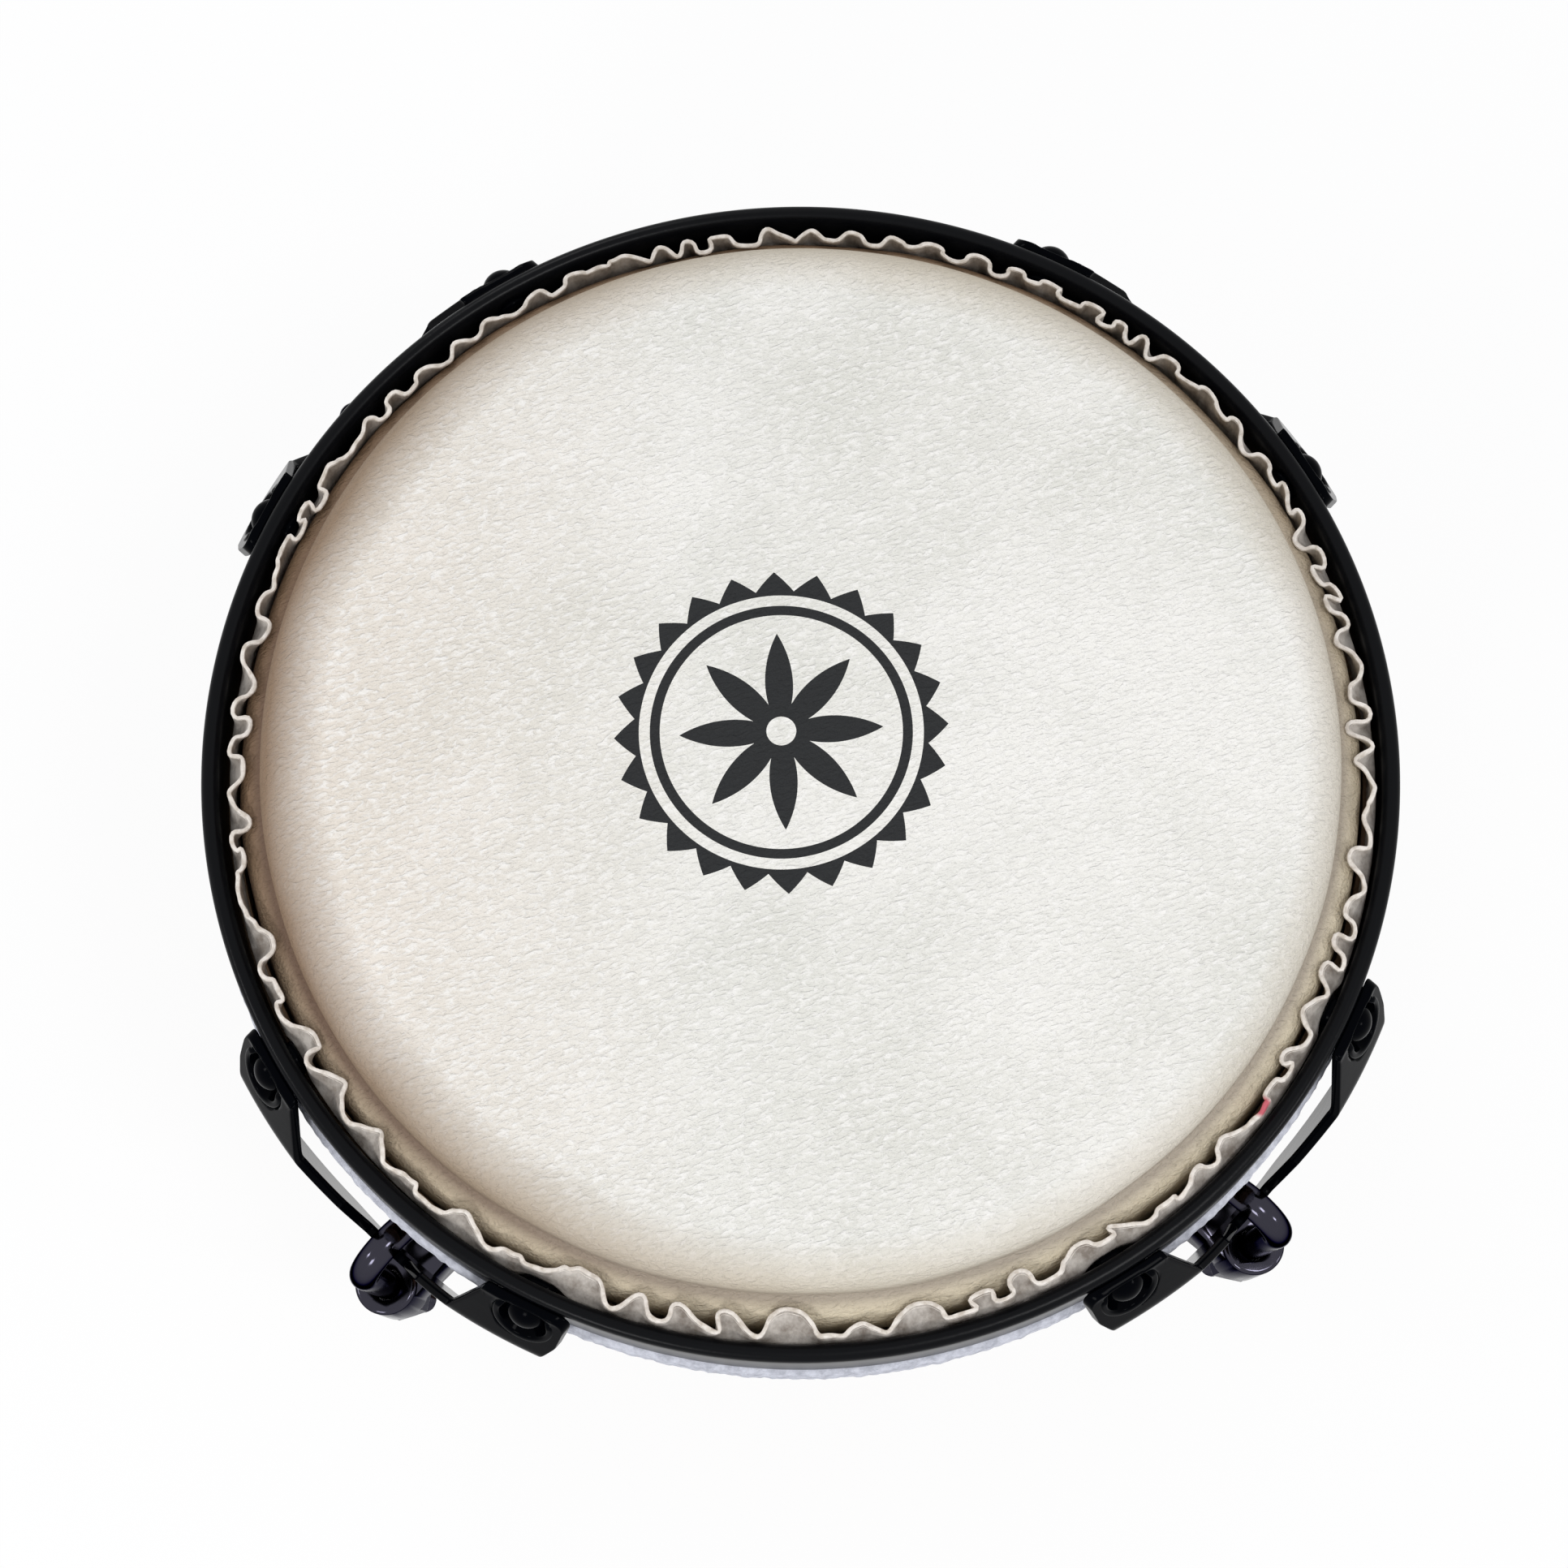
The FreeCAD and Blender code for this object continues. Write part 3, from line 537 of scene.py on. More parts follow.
def crimped_rawhide():
    """Crimped rawhide: dry grey-beige, darker than the head's skin, which is painted shade for the
    deep crimp; darker streaks up the folds, and one red spot of stamp ink."""
    material, tree, shader, place = start_material("crimped_rawhide", Roughness=0.75)
    upright = add(tree, "Mapping", {"Vector": place, "Scale": (1.0, 1.0, 0.3)}).outputs["Vector"]
    streak = noise(tree, upright, 240.0, 4.0, Roughness=0.65)
    # Painted shade: these colours are darker than the head's skin, for the shade deep in the crimp.
    base = two_tone(tree, streak, 0.36, "#8E847A", 0.64, "#CFC8BF")
    tree.links.new(inked(tree, place, base), shader.inputs["Base Color"])
    relief(tree, shader, noise(tree, place, 900.0, 3.0), 0.5, 0.0004)
    return material


def cut_rawhide():
    """Freshly cut edge of rawhide: almost white, with a fine fibrous grain."""
    material, tree, shader, place = start_material("cut_rawhide", Roughness=0.8)
    grain = noise(tree, place, 600.0, 3.0, Roughness=0.6)
    base = two_tone(tree, grain, 0.34, "#CDC3B6", 0.6, "#EFE8DF")
    tree.links.new(inked(tree, place, base), shader.inputs["Base Color"])
    relief(tree, shader, grain, 0.6, 0.0005)
    return material


def scuffed_rawhide():
    """Rawhide pulled over the flesh hoop: dried pale, bluish and fuzzy with loose fibre outside the
    counterhoop; inside it, dark brown painted shade where it shows between the folds."""
    material, tree, shader, place = start_material(
        "scuffed_rawhide", Roughness=0.85, Specular_IOR_Level=0.2
    )
    fuzz = noise(tree, place, 420.0, 4.0, Roughness=0.7)
    base = two_tone(tree, fuzz, 0.36, "#ACAEB7", 0.62, "#D0D2DB")
    radius = measured(tree, "LENGTH", flattened(tree, place)[1])
    # Painted shade: inside the counterhoop the lap is dark brown, for the shade in the gaps between
    # the folds.
    shade_inside = maths(tree, "LESS_THAN", radius, (HOOP_OUTER - 1) * MM)
    shaded = mixed(tree, shade_inside, base, linear("#7D6650"))
    tree.links.new(shaded, shader.inputs["Base Color"])
    relief(tree, shader, fuzz, 0.7, 0.0006)
    return material


def powder_coat():
    """Steel with a satin black powder coat: very dark, soft highlights and a faint orange peel."""
    material, tree, shader, place = start_material(
        "satin_black_powder_coat", Base_Color=linear("#050609"), Roughness=0.28,
        Specular_IOR_Level=0.09,
    )
    relief(tree, shader, noise(tree, place, 700.0, 1.0), 0.15, 0.0002)
    return material


def gloss_enamel():
    """Pressed steel in gloss black stoving enamel: near black, crisp highlights on its edges."""
    material, tree, shader, place = start_material(
        "gloss_black_enamel", Base_Color=linear("#020306"), Roughness=0.14,
        Specular_IOR_Level=0.016,
    )
    relief(tree, shader, noise(tree, place, 260.0, 1.0), 0.1, 0.0002)
    return material


def chrome():
    """Polished steel or zinc under chrome plate: mirror bright over a dark base colour and darker
    edges, which are a painted reflection of dark surroundings.
    """
    # Painted reflection: the dark base colour and the grey specular tint stand in for the dark
    # surroundings that the metal mirrors, darker still at grazing angles.
    material, tree, shader, place = start_material(
        "chrome_plate", Base_Color=linear("#3A3942"), Metallic=1.0, Roughness=0.08,
        Specular_Tint=linear("#808086"),
    )
    haze = ranged(tree, noise(tree, place, 90.0, 3.0), 0.3, 0.7, 0.08, 0.16)
    tree.links.new(haze, shader.inputs["Roughness"])
    return material


def zinc_plate():
    """Zinc-plated steel: pale grey metal with a dull satin."""
    material, tree, shader, place = start_material(
        "zinc_plate", Base_Color=linear("#B4B6B8"), Metallic=1.0, Roughness=0.38
    )
    spangle = ranged(tree, noise(tree, place, 300.0, 2.0), 0.0, 1.0, 0.28, 0.48)
    tree.links.new(spangle, shader.inputs["Roughness"])
    return material


def lacquered_oak():
    """Oak staves, stained brown under satin lacquer: grain runs up each stave, and each stave has
    its own tone."""
    material, tree, shader, place = start_material(
        "lacquered_oak", Roughness=0.36, Coat_Weight=0.25, Coat_Roughness=0.2
    )
    split = add(tree, "SeparateXYZ", {"Vector": place}).outputs
    angle = maths(tree, "ARCTAN2", split["Y"], split["X"])
    stave = maths(tree, "MULTIPLY_ADD", angle, STAVES / 2 / math.pi, 0.5)
    number = maths(tree, "FLOOR", stave)
    tone = add(tree, "TexWhiteNoise", {"W": number}, noise_dimensions="1D").outputs["Value"]
    apart = {"X": split["X"], "Y": split["Y"], "Z": tone}
    own = add(tree, "CombineXYZ", apart).outputs["Vector"]
    spread = vector(tree, "MULTIPLY", own, (1, 1, 3))
    moved = vector(tree, "ADD", place, spread)
    along = add(tree, "Mapping", {"Vector": moved, "Scale": (1.0, 1.0, 0.045)}).outputs["Vector"]
    pores = noise(tree, along, 900.0, 4.0, Roughness=0.7)
    rings = noise(tree, along, 110.0, 3.0, Distortion=0.6)
    both = {"Factor": 0.4, "A": rings, "B": pores}
    grain = add(tree, "Mix", both, data_type="FLOAT").outputs["Result"]
    base = two_tone(tree, grain, 0.38, "#5A3418", 0.62, "#9A6635")
    shade = ranged(tree, tone, 0.0, 1.0, 0.78, 1.12)
    toned = add(tree, "HueSaturation", {"Color": base, "Value": shade}).outputs["Color"]
    tree.links.new(toned, shader.inputs["Base Color"])
    relief(tree, shader, pores, 0.12, 0.0002)
    return material


# ---- Head ----
def rawhide_head(material):
    """Skin over the shell: a revolved profile of crown, bearing-edge bend, side and flared skirt,
    and the same profile inside it; the skirt and side wander a little in and out with the angle."""
    outer = rounded([
        (0, CROWN, 0),
        (SIDE_OUTER, CROWN, BEND_OVER_EDGE),
        (SIDE_OUTER, SKIRT_TOP, 1.6),
        (SIDE_OUTER + SHOULDER_OFFSET, SKIRT_TOP - SHOULDER_DROP, 5.0),
        (SKIRT_OUTER, FLESH_TOP, 0),
    ], HEAD_STEP)
    inner = rounded([
        (SKIRT_OUTER - SKIN, FLESH_TOP, 0),
        (SIDE_OUTER - SKIN + SHOULDER_OFFSET, SKIRT_TOP - SHOULDER_DROP - SKIN / 2, 4.0),
        (SIDE_OUTER - SKIN, SKIRT_TOP - SKIN, 2.0),
        (SIDE_OUTER - SKIN, CROWN - SKIN, BEND_OVER_EDGE - SKIN),
        (0, CROWN - SKIN, 0),
    ], HEAD_STEP)
    grid = revolved(np.concatenate([outer, inner]), HEAD_POINTS)
    angle = np.arctan2(grid[..., 1], grid[..., 0])
    low = np.clip((CROWN - SIDE_WANDER_DROP - grid[..., 2]) / SIDE_WANDER_RUN, 0, 1)
    wander = ripple(angle, *SIDE_WANDER) * low
    out = grid[..., :2] / np.maximum(np.linalg.norm(grid[..., :2], axis=-1, keepdims=True), 1)
    foot = np.clip((grid[..., 2] - FLESH_TOP) / SKIRT_WANDER_RUN, 0, 1)
    grid[..., :2] += out * (wander * foot)[..., None]
    head = piece(
        "rawhide_head", [(grid, True, False)], None, material,
        ("drum_head", "head_skirt"), 60.0,
    )
    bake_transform(head)


def collar(material, edge):
    """Cut edge of the skin, crimped inside the counterhoop.

    It lies against the hoop's wall, pressed in at the rivets' heads, and leans inwards near its
    top as a meander: radius = wall - offset - depth * (1 - cos(p)) and the angle is moved by
    neck * sin(2p) + lean * cos(p), where p grows by one turn for each fold.  Depth, neck and lean
    wander from fold to fold, and all grow from nothing to their full size at the cut edge.  The
    skin's two faces lie half its thickness to either side of that surface.
    """
    angle = np.linspace(0, 2 * math.pi, COLLAR_POINTS, endpoint=False)[:, None]
    share = np.linspace(0, 1, COLLAR_ROWS)[None, :]
    wall = HOOP_INNER - SKIN / 2
    heads = np.radians([lug + side * RIVET_ANGLE for lug in LUG_ANGLES for side in (-1, 1)])
    apart = np.sin((angle - heads) / 2) * 2 * wall
    dent = DENT_DEPTH * np.exp(-(apart / DENT_HALF_WIDTH) ** 4).sum(1)[:, None]
    far = 0.5 + 0.5 * np.sin(angle - FAR_TURN)
    stand = np.maximum(dent, COLLAR_STAND + FAR_STAND * np.clip(far * 2.2 - 0.3, 0, 1))
    start = LEAN_START - LEAN_START_CUT * far
    grow = np.clip((share - start) / (1 - start), 0, 1) ** 0.9
    crowding = FOLD_CROWDING * np.sin(angle - FOLD_CROWDING_TURN)
    phase = FOLDS * angle + crowding + ripple(angle, *FOLD_PLACES)
    swell = FOLD_DEPTH + ripple(angle, *FOLD_DEPTHS)
    shallow = SHALLOW_SHARE * np.exp(-((angle - SHALLOW_TURN) / SHALLOW_WIDTH) ** 2)
    depth = np.maximum(swell, FOLD_DEPTH_LEAST) * (1 - FAR_DEPTH_CUT * far) * (1 - shallow)
    neck = FOLD_NECK + ripple(angle, *FOLD_NECKS)
    lean = ripple(angle, *FOLD_LEANS) * (1 - FAR_LEAN_CUT * far)
    drift = DRIFT + ripple(angle, *SLOW_DRIFT) + ripple(angle, *QUICK_DRIFT)
    drift = drift + SHALLOW_DRIFT * shallow
    radius = wall - stand - grow * (drift + depth - depth * np.cos(phase))
    shift = grow * (neck * np.sin(2 * phase) + lean * np.cos(phase)) / radius
    top = CUT_TOP + ripple(angle, *CUT_HEIGHTS)
    height = COLLAR_BOTTOM + (top - COLLAR_BOTTOM) * share + 0 * angle
    middle = np.stack([radius * np.cos(angle + shift), radius * np.sin(angle + shift), height], -1)
    along = np.roll(middle, -1, 0) - np.roll(middle, 1, 0)
    side = np.stack([along[..., 1], -along[..., 0], 0 * height], -1)
    thin = 1 - 0.3 * grow[..., None]
    side *= thin * SKIN / 2 / np.linalg.norm(side, axis=-1, keepdims=True)
    outside = middle + side
    inside = middle - side
    lip = np.array([0, 0, RIM_RISE])
    rim = [
        outside[:, -1:] * 0.85 + inside[:, -1:] * 0.15 + lip,
        outside[:, -1:] * 0.15 + inside[:, -1:] * 0.85 + lip,
    ]
    grid = np.concatenate([outside, *rim, inside[:, ::-1]], 1)
    piece("crimped_collar", [(grid, True, True)], HOOP_BODY, material, (), 50.0)
    rough = CUT_SWELL + ripple(angle, *CUT_WIDTHS)[..., None]
    heart = middle[:, -1:] + [0, 0, CUT_SUNK]
    wing = side[:, -1:] * rough
    low = middle[:, -2:-1] + (middle[:, -1:] - middle[:, -2:-1]) * 0.2
    foot = side[:, -2:-1] * rough
    shoulder = wing * 0.8
    rise = np.array([0, 0, CUT_SHOULDER_RISE])
    band = np.concatenate([
        low + foot, heart + wing, heart + shoulder + rise,
        heart + [0, 0, CUT_RISE],
        heart - shoulder + rise, heart - wing, low - foot,
    ], 1)
    piece("cut_edge", [(band, True, True)], HOOP_BODY, edge, (), 50.0)


def lap(material):
    """Skin lapped round the flesh hoop: a revolved C section with rounded corners."""
    section = rounded([
        (FLESH_INNER - SKIN, FLESH_TOP, 0),
        (FLESH_INNER - SKIN, LAP_BOTTOM, 2.6),
        (LAP_OUTER, LAP_BOTTOM, 3.0),
        (LAP_OUTER, HOOP_BOTTOM, 2.6),
        (COLLAR_OUTER, HOOP_BOTTOM, 0.6),
        (COLLAR_OUTER, STRIP_TOP, 0),
        (COLLAR_OUTER - SKIN, STRIP_TOP, 0),
        (COLLAR_OUTER - SKIN, FLESH_TOP, 1.0),
        (FLESH_OUTER, FLESH_TOP, 2.0),
        (FLESH_OUTER, FLESH_BOTTOM, 2.0),
        (FLESH_INNER, FLESH_BOTTOM, 2.0),
        (FLESH_INNER, FLESH_TOP, 0),
    ], 0.8, closed=True)
    grid = revolved(section, LAP_POINTS)
    angle = np.arctan2(grid[..., 1], grid[..., 0])
    outward = np.clip((grid[..., :2] ** 2).sum(-1) ** 0.5 - HOOP_OUTER, 0, 1)
    fuzz = (ripple(angle, *LAP_FUZZ) - FUZZ_DEPTH) * outward
    grid[..., :2] *= 1 + (fuzz / LAP_OUTER)[..., None]
    piece("lapped_skin", [(grid, True, True)], HOOP_BODY, material, ("head_tuck",))


# ---- Counterhoop, brackets and rivets ----
def hoop_band(material):
    """Counterhoop: a revolved flat band with a rounded top edge."""
    section = rounded([
        (HOOP_OUTER, HOOP_BOTTOM, HOOP_FOOT_ROUND),
        (HOOP_OUTER, HOOP_TOP, HOOP_ROUND),
        (HOOP_INNER, HOOP_TOP, HOOP_ROUND),
        (HOOP_INNER, HOOP_BOTTOM, HOOP_FOOT_ROUND),
    ], 3.0, closed=True)
    piece(
        "counterhoop_band", [(revolved(section, HOOP_POINTS), True, True)], HOOP_BODY, material,
        ("counterhoop",),
    )


def face_radius(z):
    """Radius of a bracket's outer face: flange, joggle and leaning wall with softened bends."""
    profile = rounded([
        (HOOP_TOP + 5, FLANGE_FACE, 0),
        (HOOP_TOP - JOGGLE_START, FLANGE_FACE, JOGGLE_ROUND),
        (WALL_TOP, WALL_FACE, JOGGLE_ROUND),
        (WALL_TOP - WALL_RUN, WALL_FACE - WALL_LEAN * WALL_RUN, 0),
    ], 1.0)[::-1]
    return np.interp(z, profile[:, 0], profile[:, 1])


def mirrored(corners):
    """Left-hand corners followed by their mirror images in reverse order."""
    return corners + [(-y, z, radius) for y, z, radius in reversed(corners)]


def bracket_plate():
    """Pressed plate of one bracket, middle on +X.

    The plate is a strip between two lines of its front view: the top edge with the window, and the
    outline below.  Across the strip runs a closed section with rounded corners, whose depth goes
    from the outer face to the back; x = sqrt(radius^2 - y^2) bends it round the drum.
    """
    tip = (-44.0, RIVET_Z, 0)
    upper = mirrored([
        tip,
        (-44.0, BRACKET_TOP, 3.5),
        (-26.3, BRACKET_TOP, 0.6),
        (-26.3, HOOP_TOP - JOGGLE_START, 3.0),
        (-20.8, WALL_TOP - 1.0, 3.0),
        (-11.0, SEAT_Z + 11.5, 3.0),
        (-5.5, SEAT_Z, 1.5),
    ])
    lower = mirrored([
        tip,
        (-44.0, HOOP_TOP - 12.5, 5.0),
        (-42.3, HOOP_TOP - 18.5, 6.0),
        (-39.5, HOOP_TOP - 27.0, 9.0),
        (-13.0, SEAT_Z - 14.0, 6.0),
    ])
    start = resampled(rounded(upper, 0.3), OUTLINE_POINTS)[:, None]
    end = resampled(rounded(lower, 0.3), OUTLINE_POINTS)[:, None]
    width = np.linalg.norm(end - start, axis=-1)
    round_off = np.minimum(PLATE_ROUND, 0.49 * width)
    turn = np.linspace(0, math.pi / 2, CORNER_POINTS + 1)
    bow = np.linspace(0, 1, FACE_POINTS)
    ones, zeros = np.ones(CORNER_POINTS), np.zeros(CORNER_POINTS)
    near = np.concatenate([bow, ones, ones, bow[::-1], zeros, zeros])
    swell, shrink = np.sin(turn[1:]), np.sin(turn[::-1][1:])
    offset = np.concatenate([0 * bow, swell, shrink, 0 * bow, -swell, -shrink])
    drop = 1 - np.cos(turn)
    face, whole = 0 * bow, PLATE / PLATE_ROUND
    sunk = np.concatenate([
        face, drop[1:], whole - drop[::-1][1:], face + whole, whole - drop[1:], drop[::-1][1:],
    ])
    across = round_off + near[None] * (width - 2 * round_off) + offset[None] * round_off
    depth = np.clip(sunk[None] * PLATE_ROUND / PLATE, 0, 1)
    place = start + (end - start) * (across / np.maximum(width, 1e-9))[..., None]
    y, z = place[..., 0], place[..., 1]
    front = face_radius(z)
    back = front - PLATE
    for sign in (-1, 1):
        rivet_angle = math.radians(sign * RIVET_ANGLE)
        away = np.hypot(y - RIVET_FACE * math.sin(rivet_angle), z - RIVET_Z)
        floor = RIVET_FACE / np.cos(np.arcsin(y / front) - rivet_angle)
        inside = np.clip((POCKET_FLOOR_RADIUS - away) / POCKET_SLOPE, 0, 1)
        front = np.where(front > floor, front + inside * (floor - front), front)
        cup = np.clip((POCKET_BACK_RADIUS - away) / POCKET_SLOPE, 0, 1)
        back = back + cup * (HOOP_OUTER + POCKET_GAP - back)
    radius = front + depth * (back - front)
    return np.stack([np.sqrt(radius ** 2 - y ** 2), y, z], -1)


def pocket_lip(sign):
    """Rolled lip round the lower side of a rivet's pocket: a closed section carried along an arc
    about the rivet's axis, which follows the plate's face and sinks into it at both ends."""
    sweep = np.radians(np.linspace(*LIP_SWEEP, 97))[:, None]
    ends = np.minimum(sweep - sweep[0], sweep[-1] - sweep)
    fade = np.clip(ends / math.radians(LIP_FADE), 0, 1)
    fade = fade * fade * (3 - 2 * fade)
    section = rounded([
        (POCKET_RADIUS, -0.3, 0),
        (POCKET_RADIUS, LIP_HEIGHT, 0.55),
        (POCKET_RADIUS + LIP_WIDTH, LIP_HEIGHT, 0.6),
        (POCKET_RADIUS + LIP_WIDTH + 0.2, -0.6, 0),
    ], 0.4, closed=True)
    out = section[None, :, 0]
    rise = section[None, :, 1]
    sideways, up = out * np.cos(sweep), out * np.sin(sweep)
    z = RIVET_Z + up
    surface = np.sqrt(face_radius(z) ** 2 - sideways ** 2) - RIVET_FACE
    height = surface + rise * fade - (1 - fade) * LIP_SINK
    at_floor = (rise < -0.25) & (out < POCKET_RADIUS + 0.1)
    height = np.where(at_floor, -LIP_UNDER_FLOOR, height)
    points = np.stack([RIVET_FACE + height, sideways, z], -1)
    return turned(points, sign * RIVET_ANGLE)


def rivet():
    """Dome rivet on the +X axis: outer dome, shank and closed inner head, revolved about X."""
    dome = (RIVET_DOME_RADIUS ** 2 + RIVET_DOME_HEIGHT ** 2) / (2 * RIVET_DOME_HEIGHT)
    half = math.asin(RIVET_DOME_RADIUS / dome)
    turn = np.linspace(0, half, 14)
    cap = np.stack([
        dome * np.sin(turn), RIVET_FACE + RIVET_DOME_HEIGHT - dome * (1 - np.cos(turn))
    ], 1)
    head_end = HOOP_INNER - RIVET_HEAD_HEIGHT
    body = rounded([
        (RIVET_DOME_RADIUS, RIVET_FACE, 0),
        (RIVET_SHANK_RADIUS, RIVET_FACE, 0),
        (RIVET_SHANK_RADIUS, HOOP_INNER, 0),
        (RIVET_HEAD_RADIUS, HOOP_INNER, 0),
        (RIVET_HEAD_RADIUS, head_end, 0.8),
        (0, head_end, 0),
    ], 0.5)
    grid = revolved(np.concatenate([cap, body[1:]]), RIVET_POINTS)
    return np.stack([grid[..., 2], grid[..., 0], RIVET_Z + grid[..., 1]], -1)


# ---- Hooks and nuts ----
def in_place_of_rod(points, angle):
    """From the rod's frame (bend centre at x = -BEND_RADIUS, z = 0) to the drum's."""
    x, y, z = points[..., 0] + BEND_RADIUS, points[..., 1], points[..., 2]
    leaned = np.stack([
        x * math.cos(ROD_LEAN) + z * math.sin(ROD_LEAN) + SEAT_RADIUS,
        y,
        -x * math.sin(ROD_LEAN) + z * math.cos(ROD_LEAN) + SEAT_Z - HOOK_DROP,
    ], -1)
    return turned(leaned, angle)


def hook_rod():
    """J-hook rod: a circle carried along a straight run, a half circle and a short tip; the
    threaded run's radius follows a triangle wave of (height / pitch - angle / one turn)."""
    around = np.linspace(0, 2 * math.pi, ROD_POINTS, endpoint=False)[None, :]
    thread_end = THREAD_LENGTH - ROD_LENGTH
    thread = np.linspace(-ROD_LENGTH, thread_end, 252)
    shank = np.linspace(thread_end + RUN_GAP, -1.0, 12)
    turn = np.linspace(0, math.pi, 33)
    tip = -np.linspace(RUN_GAP, TIP_LENGTH - TIP_ROUND, 5)
    nose = np.linspace(0, math.pi / 2, 7)[1:]
    x = np.concatenate([
        0 * thread, 0 * shank, BEND_RADIUS * (np.cos(turn) - 1), 0 * tip - 2 * BEND_RADIUS,
        0 * nose - 2 * BEND_RADIUS,
    ])
    z = np.concatenate([
        thread, shank, BEND_RADIUS * np.sin(turn), tip,
        TIP_ROUND - TIP_LENGTH - TIP_ROUND * np.sin(nose),
    ])
    lean = np.concatenate([
        0 * thread, 0 * shank, turn, 0 * tip + math.pi, 0 * nose + math.pi,
    ])
    plain = np.concatenate([
        0 * shank + ROD_RADIUS, 0 * turn + ROD_RADIUS, 0 * tip + ROD_RADIUS,
        ROD_RADIUS - TIP_ROUND + TIP_ROUND * np.cos(nose),
    ])
    wave = np.abs(((thread[:, None] / THREAD_PITCH - around / (2 * math.pi)) % 1) * 2 - 1)
    cut = THREAD_ROOT + THREAD_DEPTH * wave
    cut = np.minimum(cut, ROD_RADIUS - THREAD_CHAMFER + (thread[:, None] + ROD_LENGTH))
    radius = np.concatenate([cut, plain[:, None] + 0 * around])
    rows = np.stack([
        x[:, None] + radius * np.cos(around) * np.cos(lean)[:, None],
        radius * np.sin(around),
        z[:, None] + radius * np.cos(around) * np.sin(lean)[:, None],
    ], -1)
    foot = np.broadcast_to([[[0, 0, -ROD_LENGTH]]], (1, ROD_POINTS, 3))
    end = np.broadcast_to([[[-2 * BEND_RADIUS, 0, -TIP_LENGTH]]], (1, ROD_POINTS, 3))
    return np.concatenate([foot, rows, end])


def hexagon_nut():
    """Hexagon nut: radius = flats / 2 / cos(angle within a side), cut by a 30 degree cone at both
    ends, and a bore."""
    around = np.linspace(0, 2 * math.pi, NUT_POINTS, endpoint=False)[None, :]
    flat = NUT_FLATS / 2 / np.cos((around + math.pi / 6) % (math.pi / 3) - math.pi / 6)
    low_end = np.linspace(0.0, NUT_CHAMFER_RUN, 8)
    high_end = np.linspace(NUT_HEIGHT - NUT_CHAMFER_RUN, NUT_HEIGHT, 8)
    rise = np.concatenate([[0], low_end, high_end, [NUT_HEIGHT]])[:, None]
    inset = NUT_FLATS / 2 - NUT_FACE_INSET
    cone = inset + np.minimum(rise, NUT_HEIGHT - rise) / math.tan(math.radians(30))
    radius = np.minimum(flat, cone)
    radius[[0, -1]] = THREAD_BORE
    z = NUT_TOP - NUT_HEIGHT + rise + 0 * around
    return np.stack([radius * np.cos(around), radius * np.sin(around), z], -1)


def softened(node, name, width, body, material):
    """Copy of a CAD node with its sharp edges rounded off."""
    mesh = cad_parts[node].data.copy()
    work = bmesh.new()
    work.from_mesh(mesh)
    bmesh.ops.remove_doubles(work, verts=work.verts, dist=MERGE_DISTANCE)
    bmesh.ops.dissolve_limit(
        work, angle_limit=FLAT_WITHIN, verts=work.verts, edges=work.edges
    )
    sharp = [e for e in work.edges if e.is_manifold and e.calc_face_angle(0) > SHARP_FROM]
    bmesh.ops.bevel(
        work, geom=sharp, offset=width * MM, offset_type="OFFSET", segments=2, profile=0.5,
        affect="EDGES", clamp_overlap=True,
    )
    work.to_mesh(mesh)
    work.free()
    mesh.materials.clear()
    mesh.materials.append(material)
    mesh.shade_smooth()
    mesh.set_sharp_from_angle(angle=math.radians(50))
    made = bpy.data.objects.new(name, mesh)
    bpy.context.collection.objects.link(made)
    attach(made, body)
    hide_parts(node)


def dress(node, material):
    """Give a CAD node's own mesh a material in every slot."""
    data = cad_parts[node].data
    data.materials.clear()
    data.materials.append(material)


# ---- Camera, light and ground ----
def camera():
    """Camera above the near side of the drum, looking steeply down at the head."""
    tilt, roll = math.radians(CAMERA_TILT), math.radians(CAMERA_ROLL)
    back = np.array([0, -math.sin(tilt), math.cos(tilt)])
    right = np.array([1.0, 0, 0])
    up = np.array([0, math.cos(tilt), math.sin(tilt)])
    side = math.cos(roll) * right + math.sin(roll) * up
    top = -math.sin(roll) * right + math.cos(roll) * up
    spot = back * CAMERA_DISTANCE - side * CAMERA_ASIDE - top * CAMERA_BELOW
    axes = turned(np.array([side, top, back, spot]), CAMERA_TURN)
    matrix = Matrix.Identity(4)
    for column in range(3):
        matrix.col[column][:3] = axes[column]
    matrix.translation = Vector((axes[3] + [0, 0, HOOP_TOP]) * MM)
    data = bpy.data.cameras.new("camera")
    data.sensor_width = SENSOR_WIDTH
    data.lens = FOCAL_LENGTH
    made = bpy.data.objects.new("camera", data)
    made.matrix_world = matrix
    bpy.context.collection.objects.link(made)
    bpy.context.scene.camera = made


def lamp(name, place, size, power):
    """Soft square lamp that faces the drum."""
    data = bpy.data.lights.new(name, "AREA")
    data.size = size
    data.energy = power
    made = bpy.data.objects.new(name, data)
    made.location = place
    aim = Vector(LAMP_TARGET) - Vector(place)
    made.rotation_euler = aim.to_track_quat("-Z", "Y").to_euler()
    bpy.context.collection.objects.link(made)


def seen(tree):
    """1 for rays that see a surface straight, in gloss or through glass."""
    path = add(tree, "LightPath").outputs
    glossed = maths(tree, "MAXIMUM", path["Is Camera Ray"], path["Is Glossy Ray"])
    return maths(tree, "MAXIMUM", glossed, path["Is Transmission Ray"])


def blended(tree, share, first, second):
    """The second shader by its share over the first."""
    return add(tree, "MixShader", {0: share, 1: first, 2: second}).outputs["Shader"]


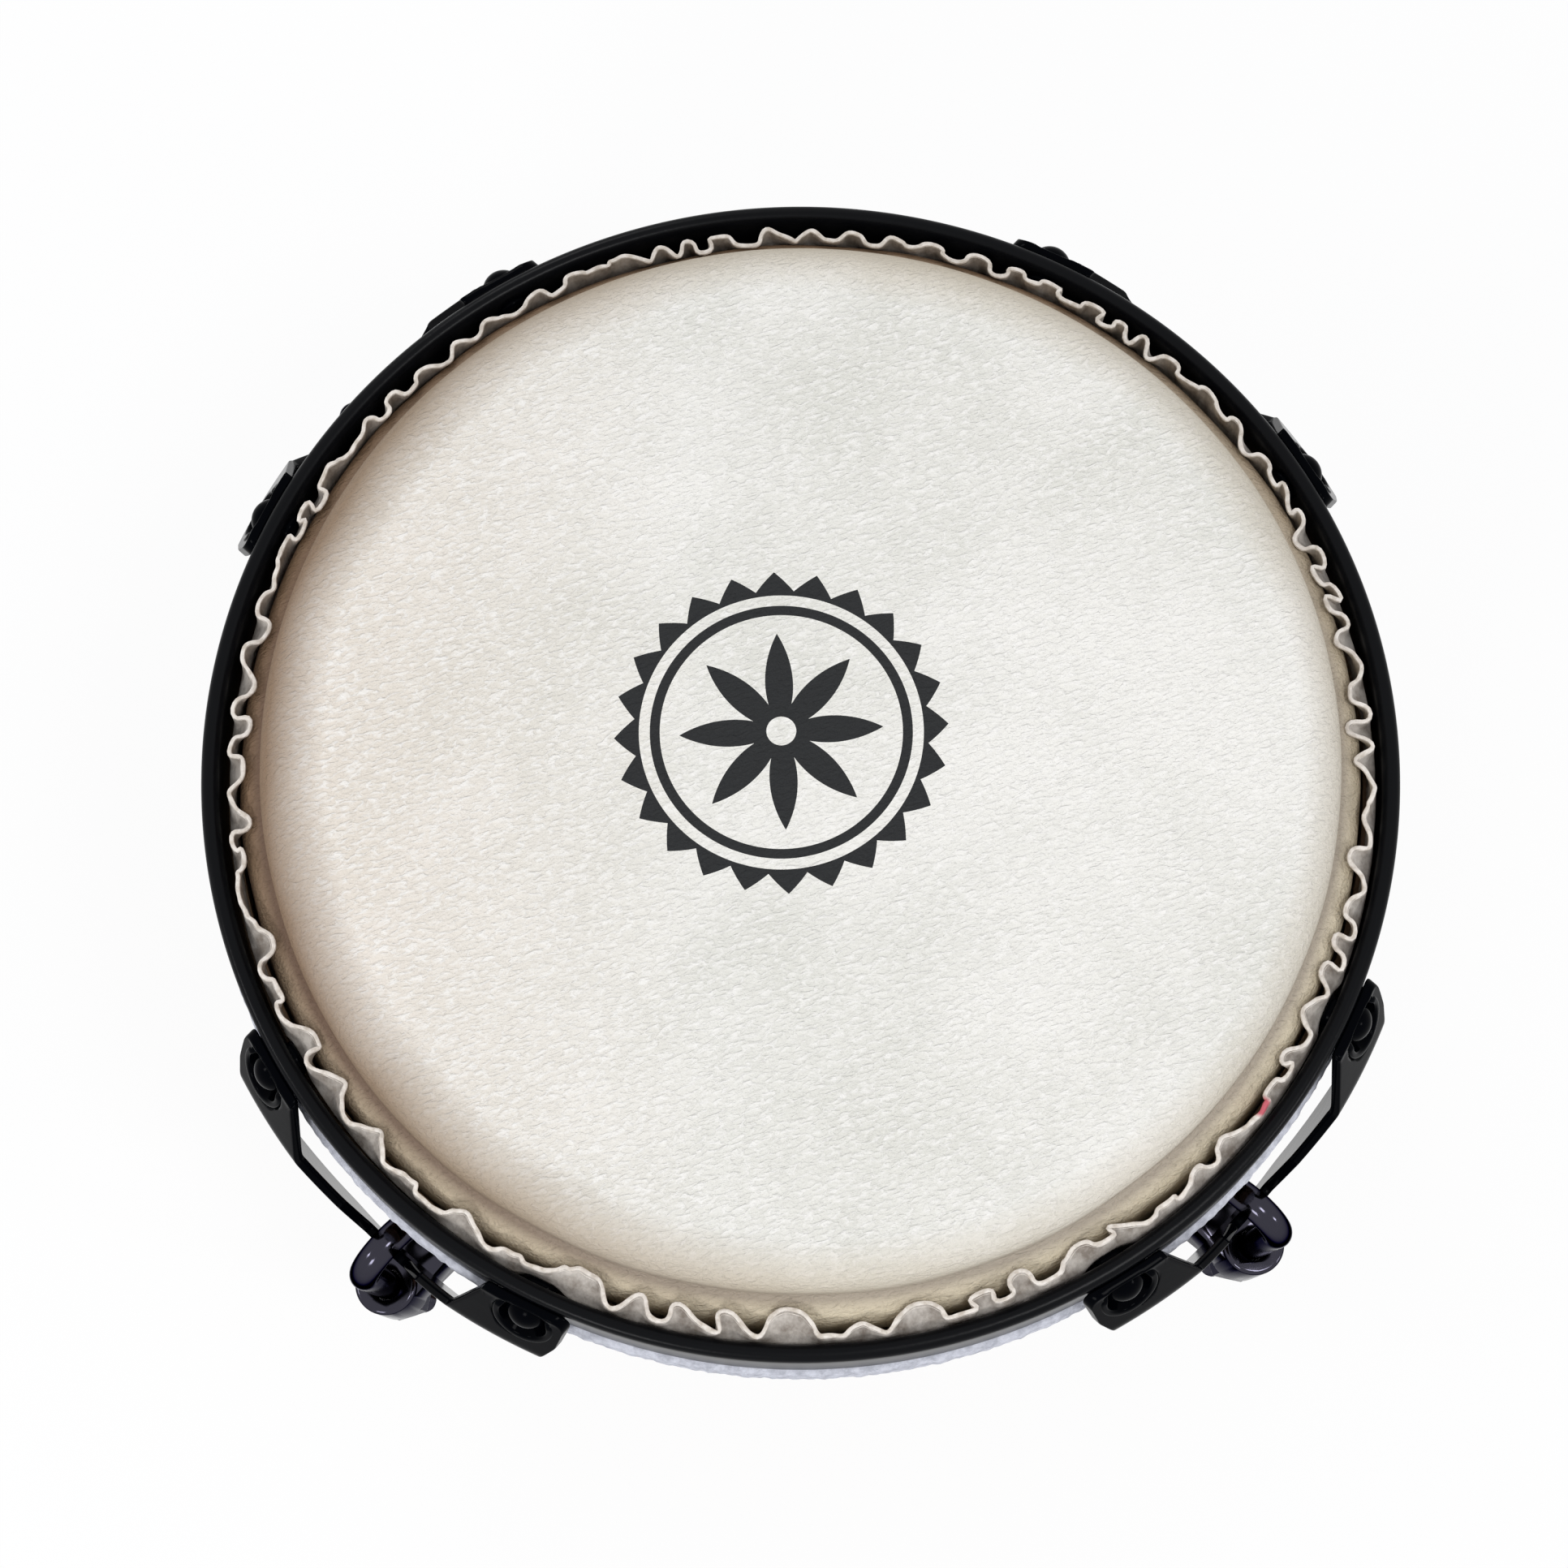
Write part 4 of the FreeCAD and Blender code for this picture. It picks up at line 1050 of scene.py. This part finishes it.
def surroundings():
    """White for rays that see it, and a paler grey light for the rest."""
    world = bpy.data.worlds.new("studio")
    bpy.context.scene.world = world
    world.use_nodes = True
    tree = world.node_tree
    tree.nodes.clear()
    ambient = add(tree, "Background", {"Color": linear("#F4F5FA"), "Strength": 0.66})
    white = add(tree, "Background", {"Color": linear("#FFFFFF"), "Strength": 1.0})
    both = blended(tree, seen(tree), ambient.outputs["Background"], white.outputs["Background"])
    add(tree, "OutputWorld", {"Surface": both})


def pale_floor():
    """Pale floor that glows white for rays that see it."""
    material, tree, shader, _ = start_material(
        "pale_floor", Base_Color=linear("#FCFCFC"), Roughness=0.9
    )
    share = maths(tree, "MULTIPLY", seen(tree), FLOOR_GLOW)
    glow = add(tree, "Emission", {"Color": linear("#FFFFFF"), "Strength": 1.0})
    both = blended(tree, share, shader.outputs["BSDF"], glow.outputs["Emission"])
    output = [node for node in tree.nodes if node.bl_idname == "ShaderNodeOutputMaterial"][0]
    tree.links.new(both, output.inputs["Surface"])
    corners = [(-1, -1, 0), (-1, 1, 0), (1, -1, 0), (1, 1, 0)]
    mesh = bpy.data.meshes.new("floor")
    mesh.from_pydata(np.array(corners) * FLOOR_REACH * MM, [], [[0, 2, 3, 1]])
    mesh.materials.append(material)
    floor = bpy.data.objects.new("floor", mesh)
    bpy.context.collection.objects.link(floor)


# ---- Putting it together ----
def main():
    """Build every piece, dress the CAD nodes and set up the view."""
    skin = rawhide()
    edge = crimped_rawhide()
    satin = powder_coat()
    enamel = gloss_enamel()
    bright = chrome()
    zinc = zinc_plate()
    oak = lacquered_oak()
    rawhide_head(skin)
    collar(edge, cut_rawhide())
    lap(scuffed_rawhide())
    hoop_band(satin)
    dress("shell_staves", oak)
    dress("flesh_hoop", zinc)
    plate = bracket_plate()
    rod = hook_rod()
    nut = hexagon_nut()
    for number, angle in enumerate(LUG_ANGLES, 1):
        grids = [(turned(plate, angle), False, True)]
        grids += [(turned(pocket_lip(sign), angle), False, True) for sign in (-1, 1)]
        piece(f"pressed_bracket_{number}", grids, HOOP_BODY, enamel,
              (f"lug_bracket_{number}",), 40.0)
        rivets = [(turned(rivet(), angle + side * RIVET_ANGLE), True, False) for side in (-1, 1)]
        piece(f"dome_rivets_{number}", rivets, HOOP_BODY, enamel,
              (f"bracket_rivets_{number}",), 40.0)
        piece(f"hook_rod_{number}", [(in_place_of_rod(rod, angle), False, True)], HOOP_BODY, bright,
              (f"tuning_hook_{number}",), 40.0)
        piece(f"hexagon_nut_{number}", [(in_place_of_rod(nut, angle), True, True)],
              f"tuning_nut_{number}", bright, (f"tuning_nut_{number}",), 25.0)
        softened(f"cast_lug_{number}", f"lug_casting_{number}", CASTING_ROUND, SHELL_BODY, bright)
        dress(f"nut_washer_{number}", bright)
        dress(f"lug_screws_{number}", zinc)
        dress(f"lug_screw_washers_{number}", zinc)
    camera()
    surroundings()
    pale_floor()
    for name, place, size, power in LAMPS:
        lamp(name, place, size, power)
    bpy.context.scene.view_settings.view_transform = "Standard"


main()
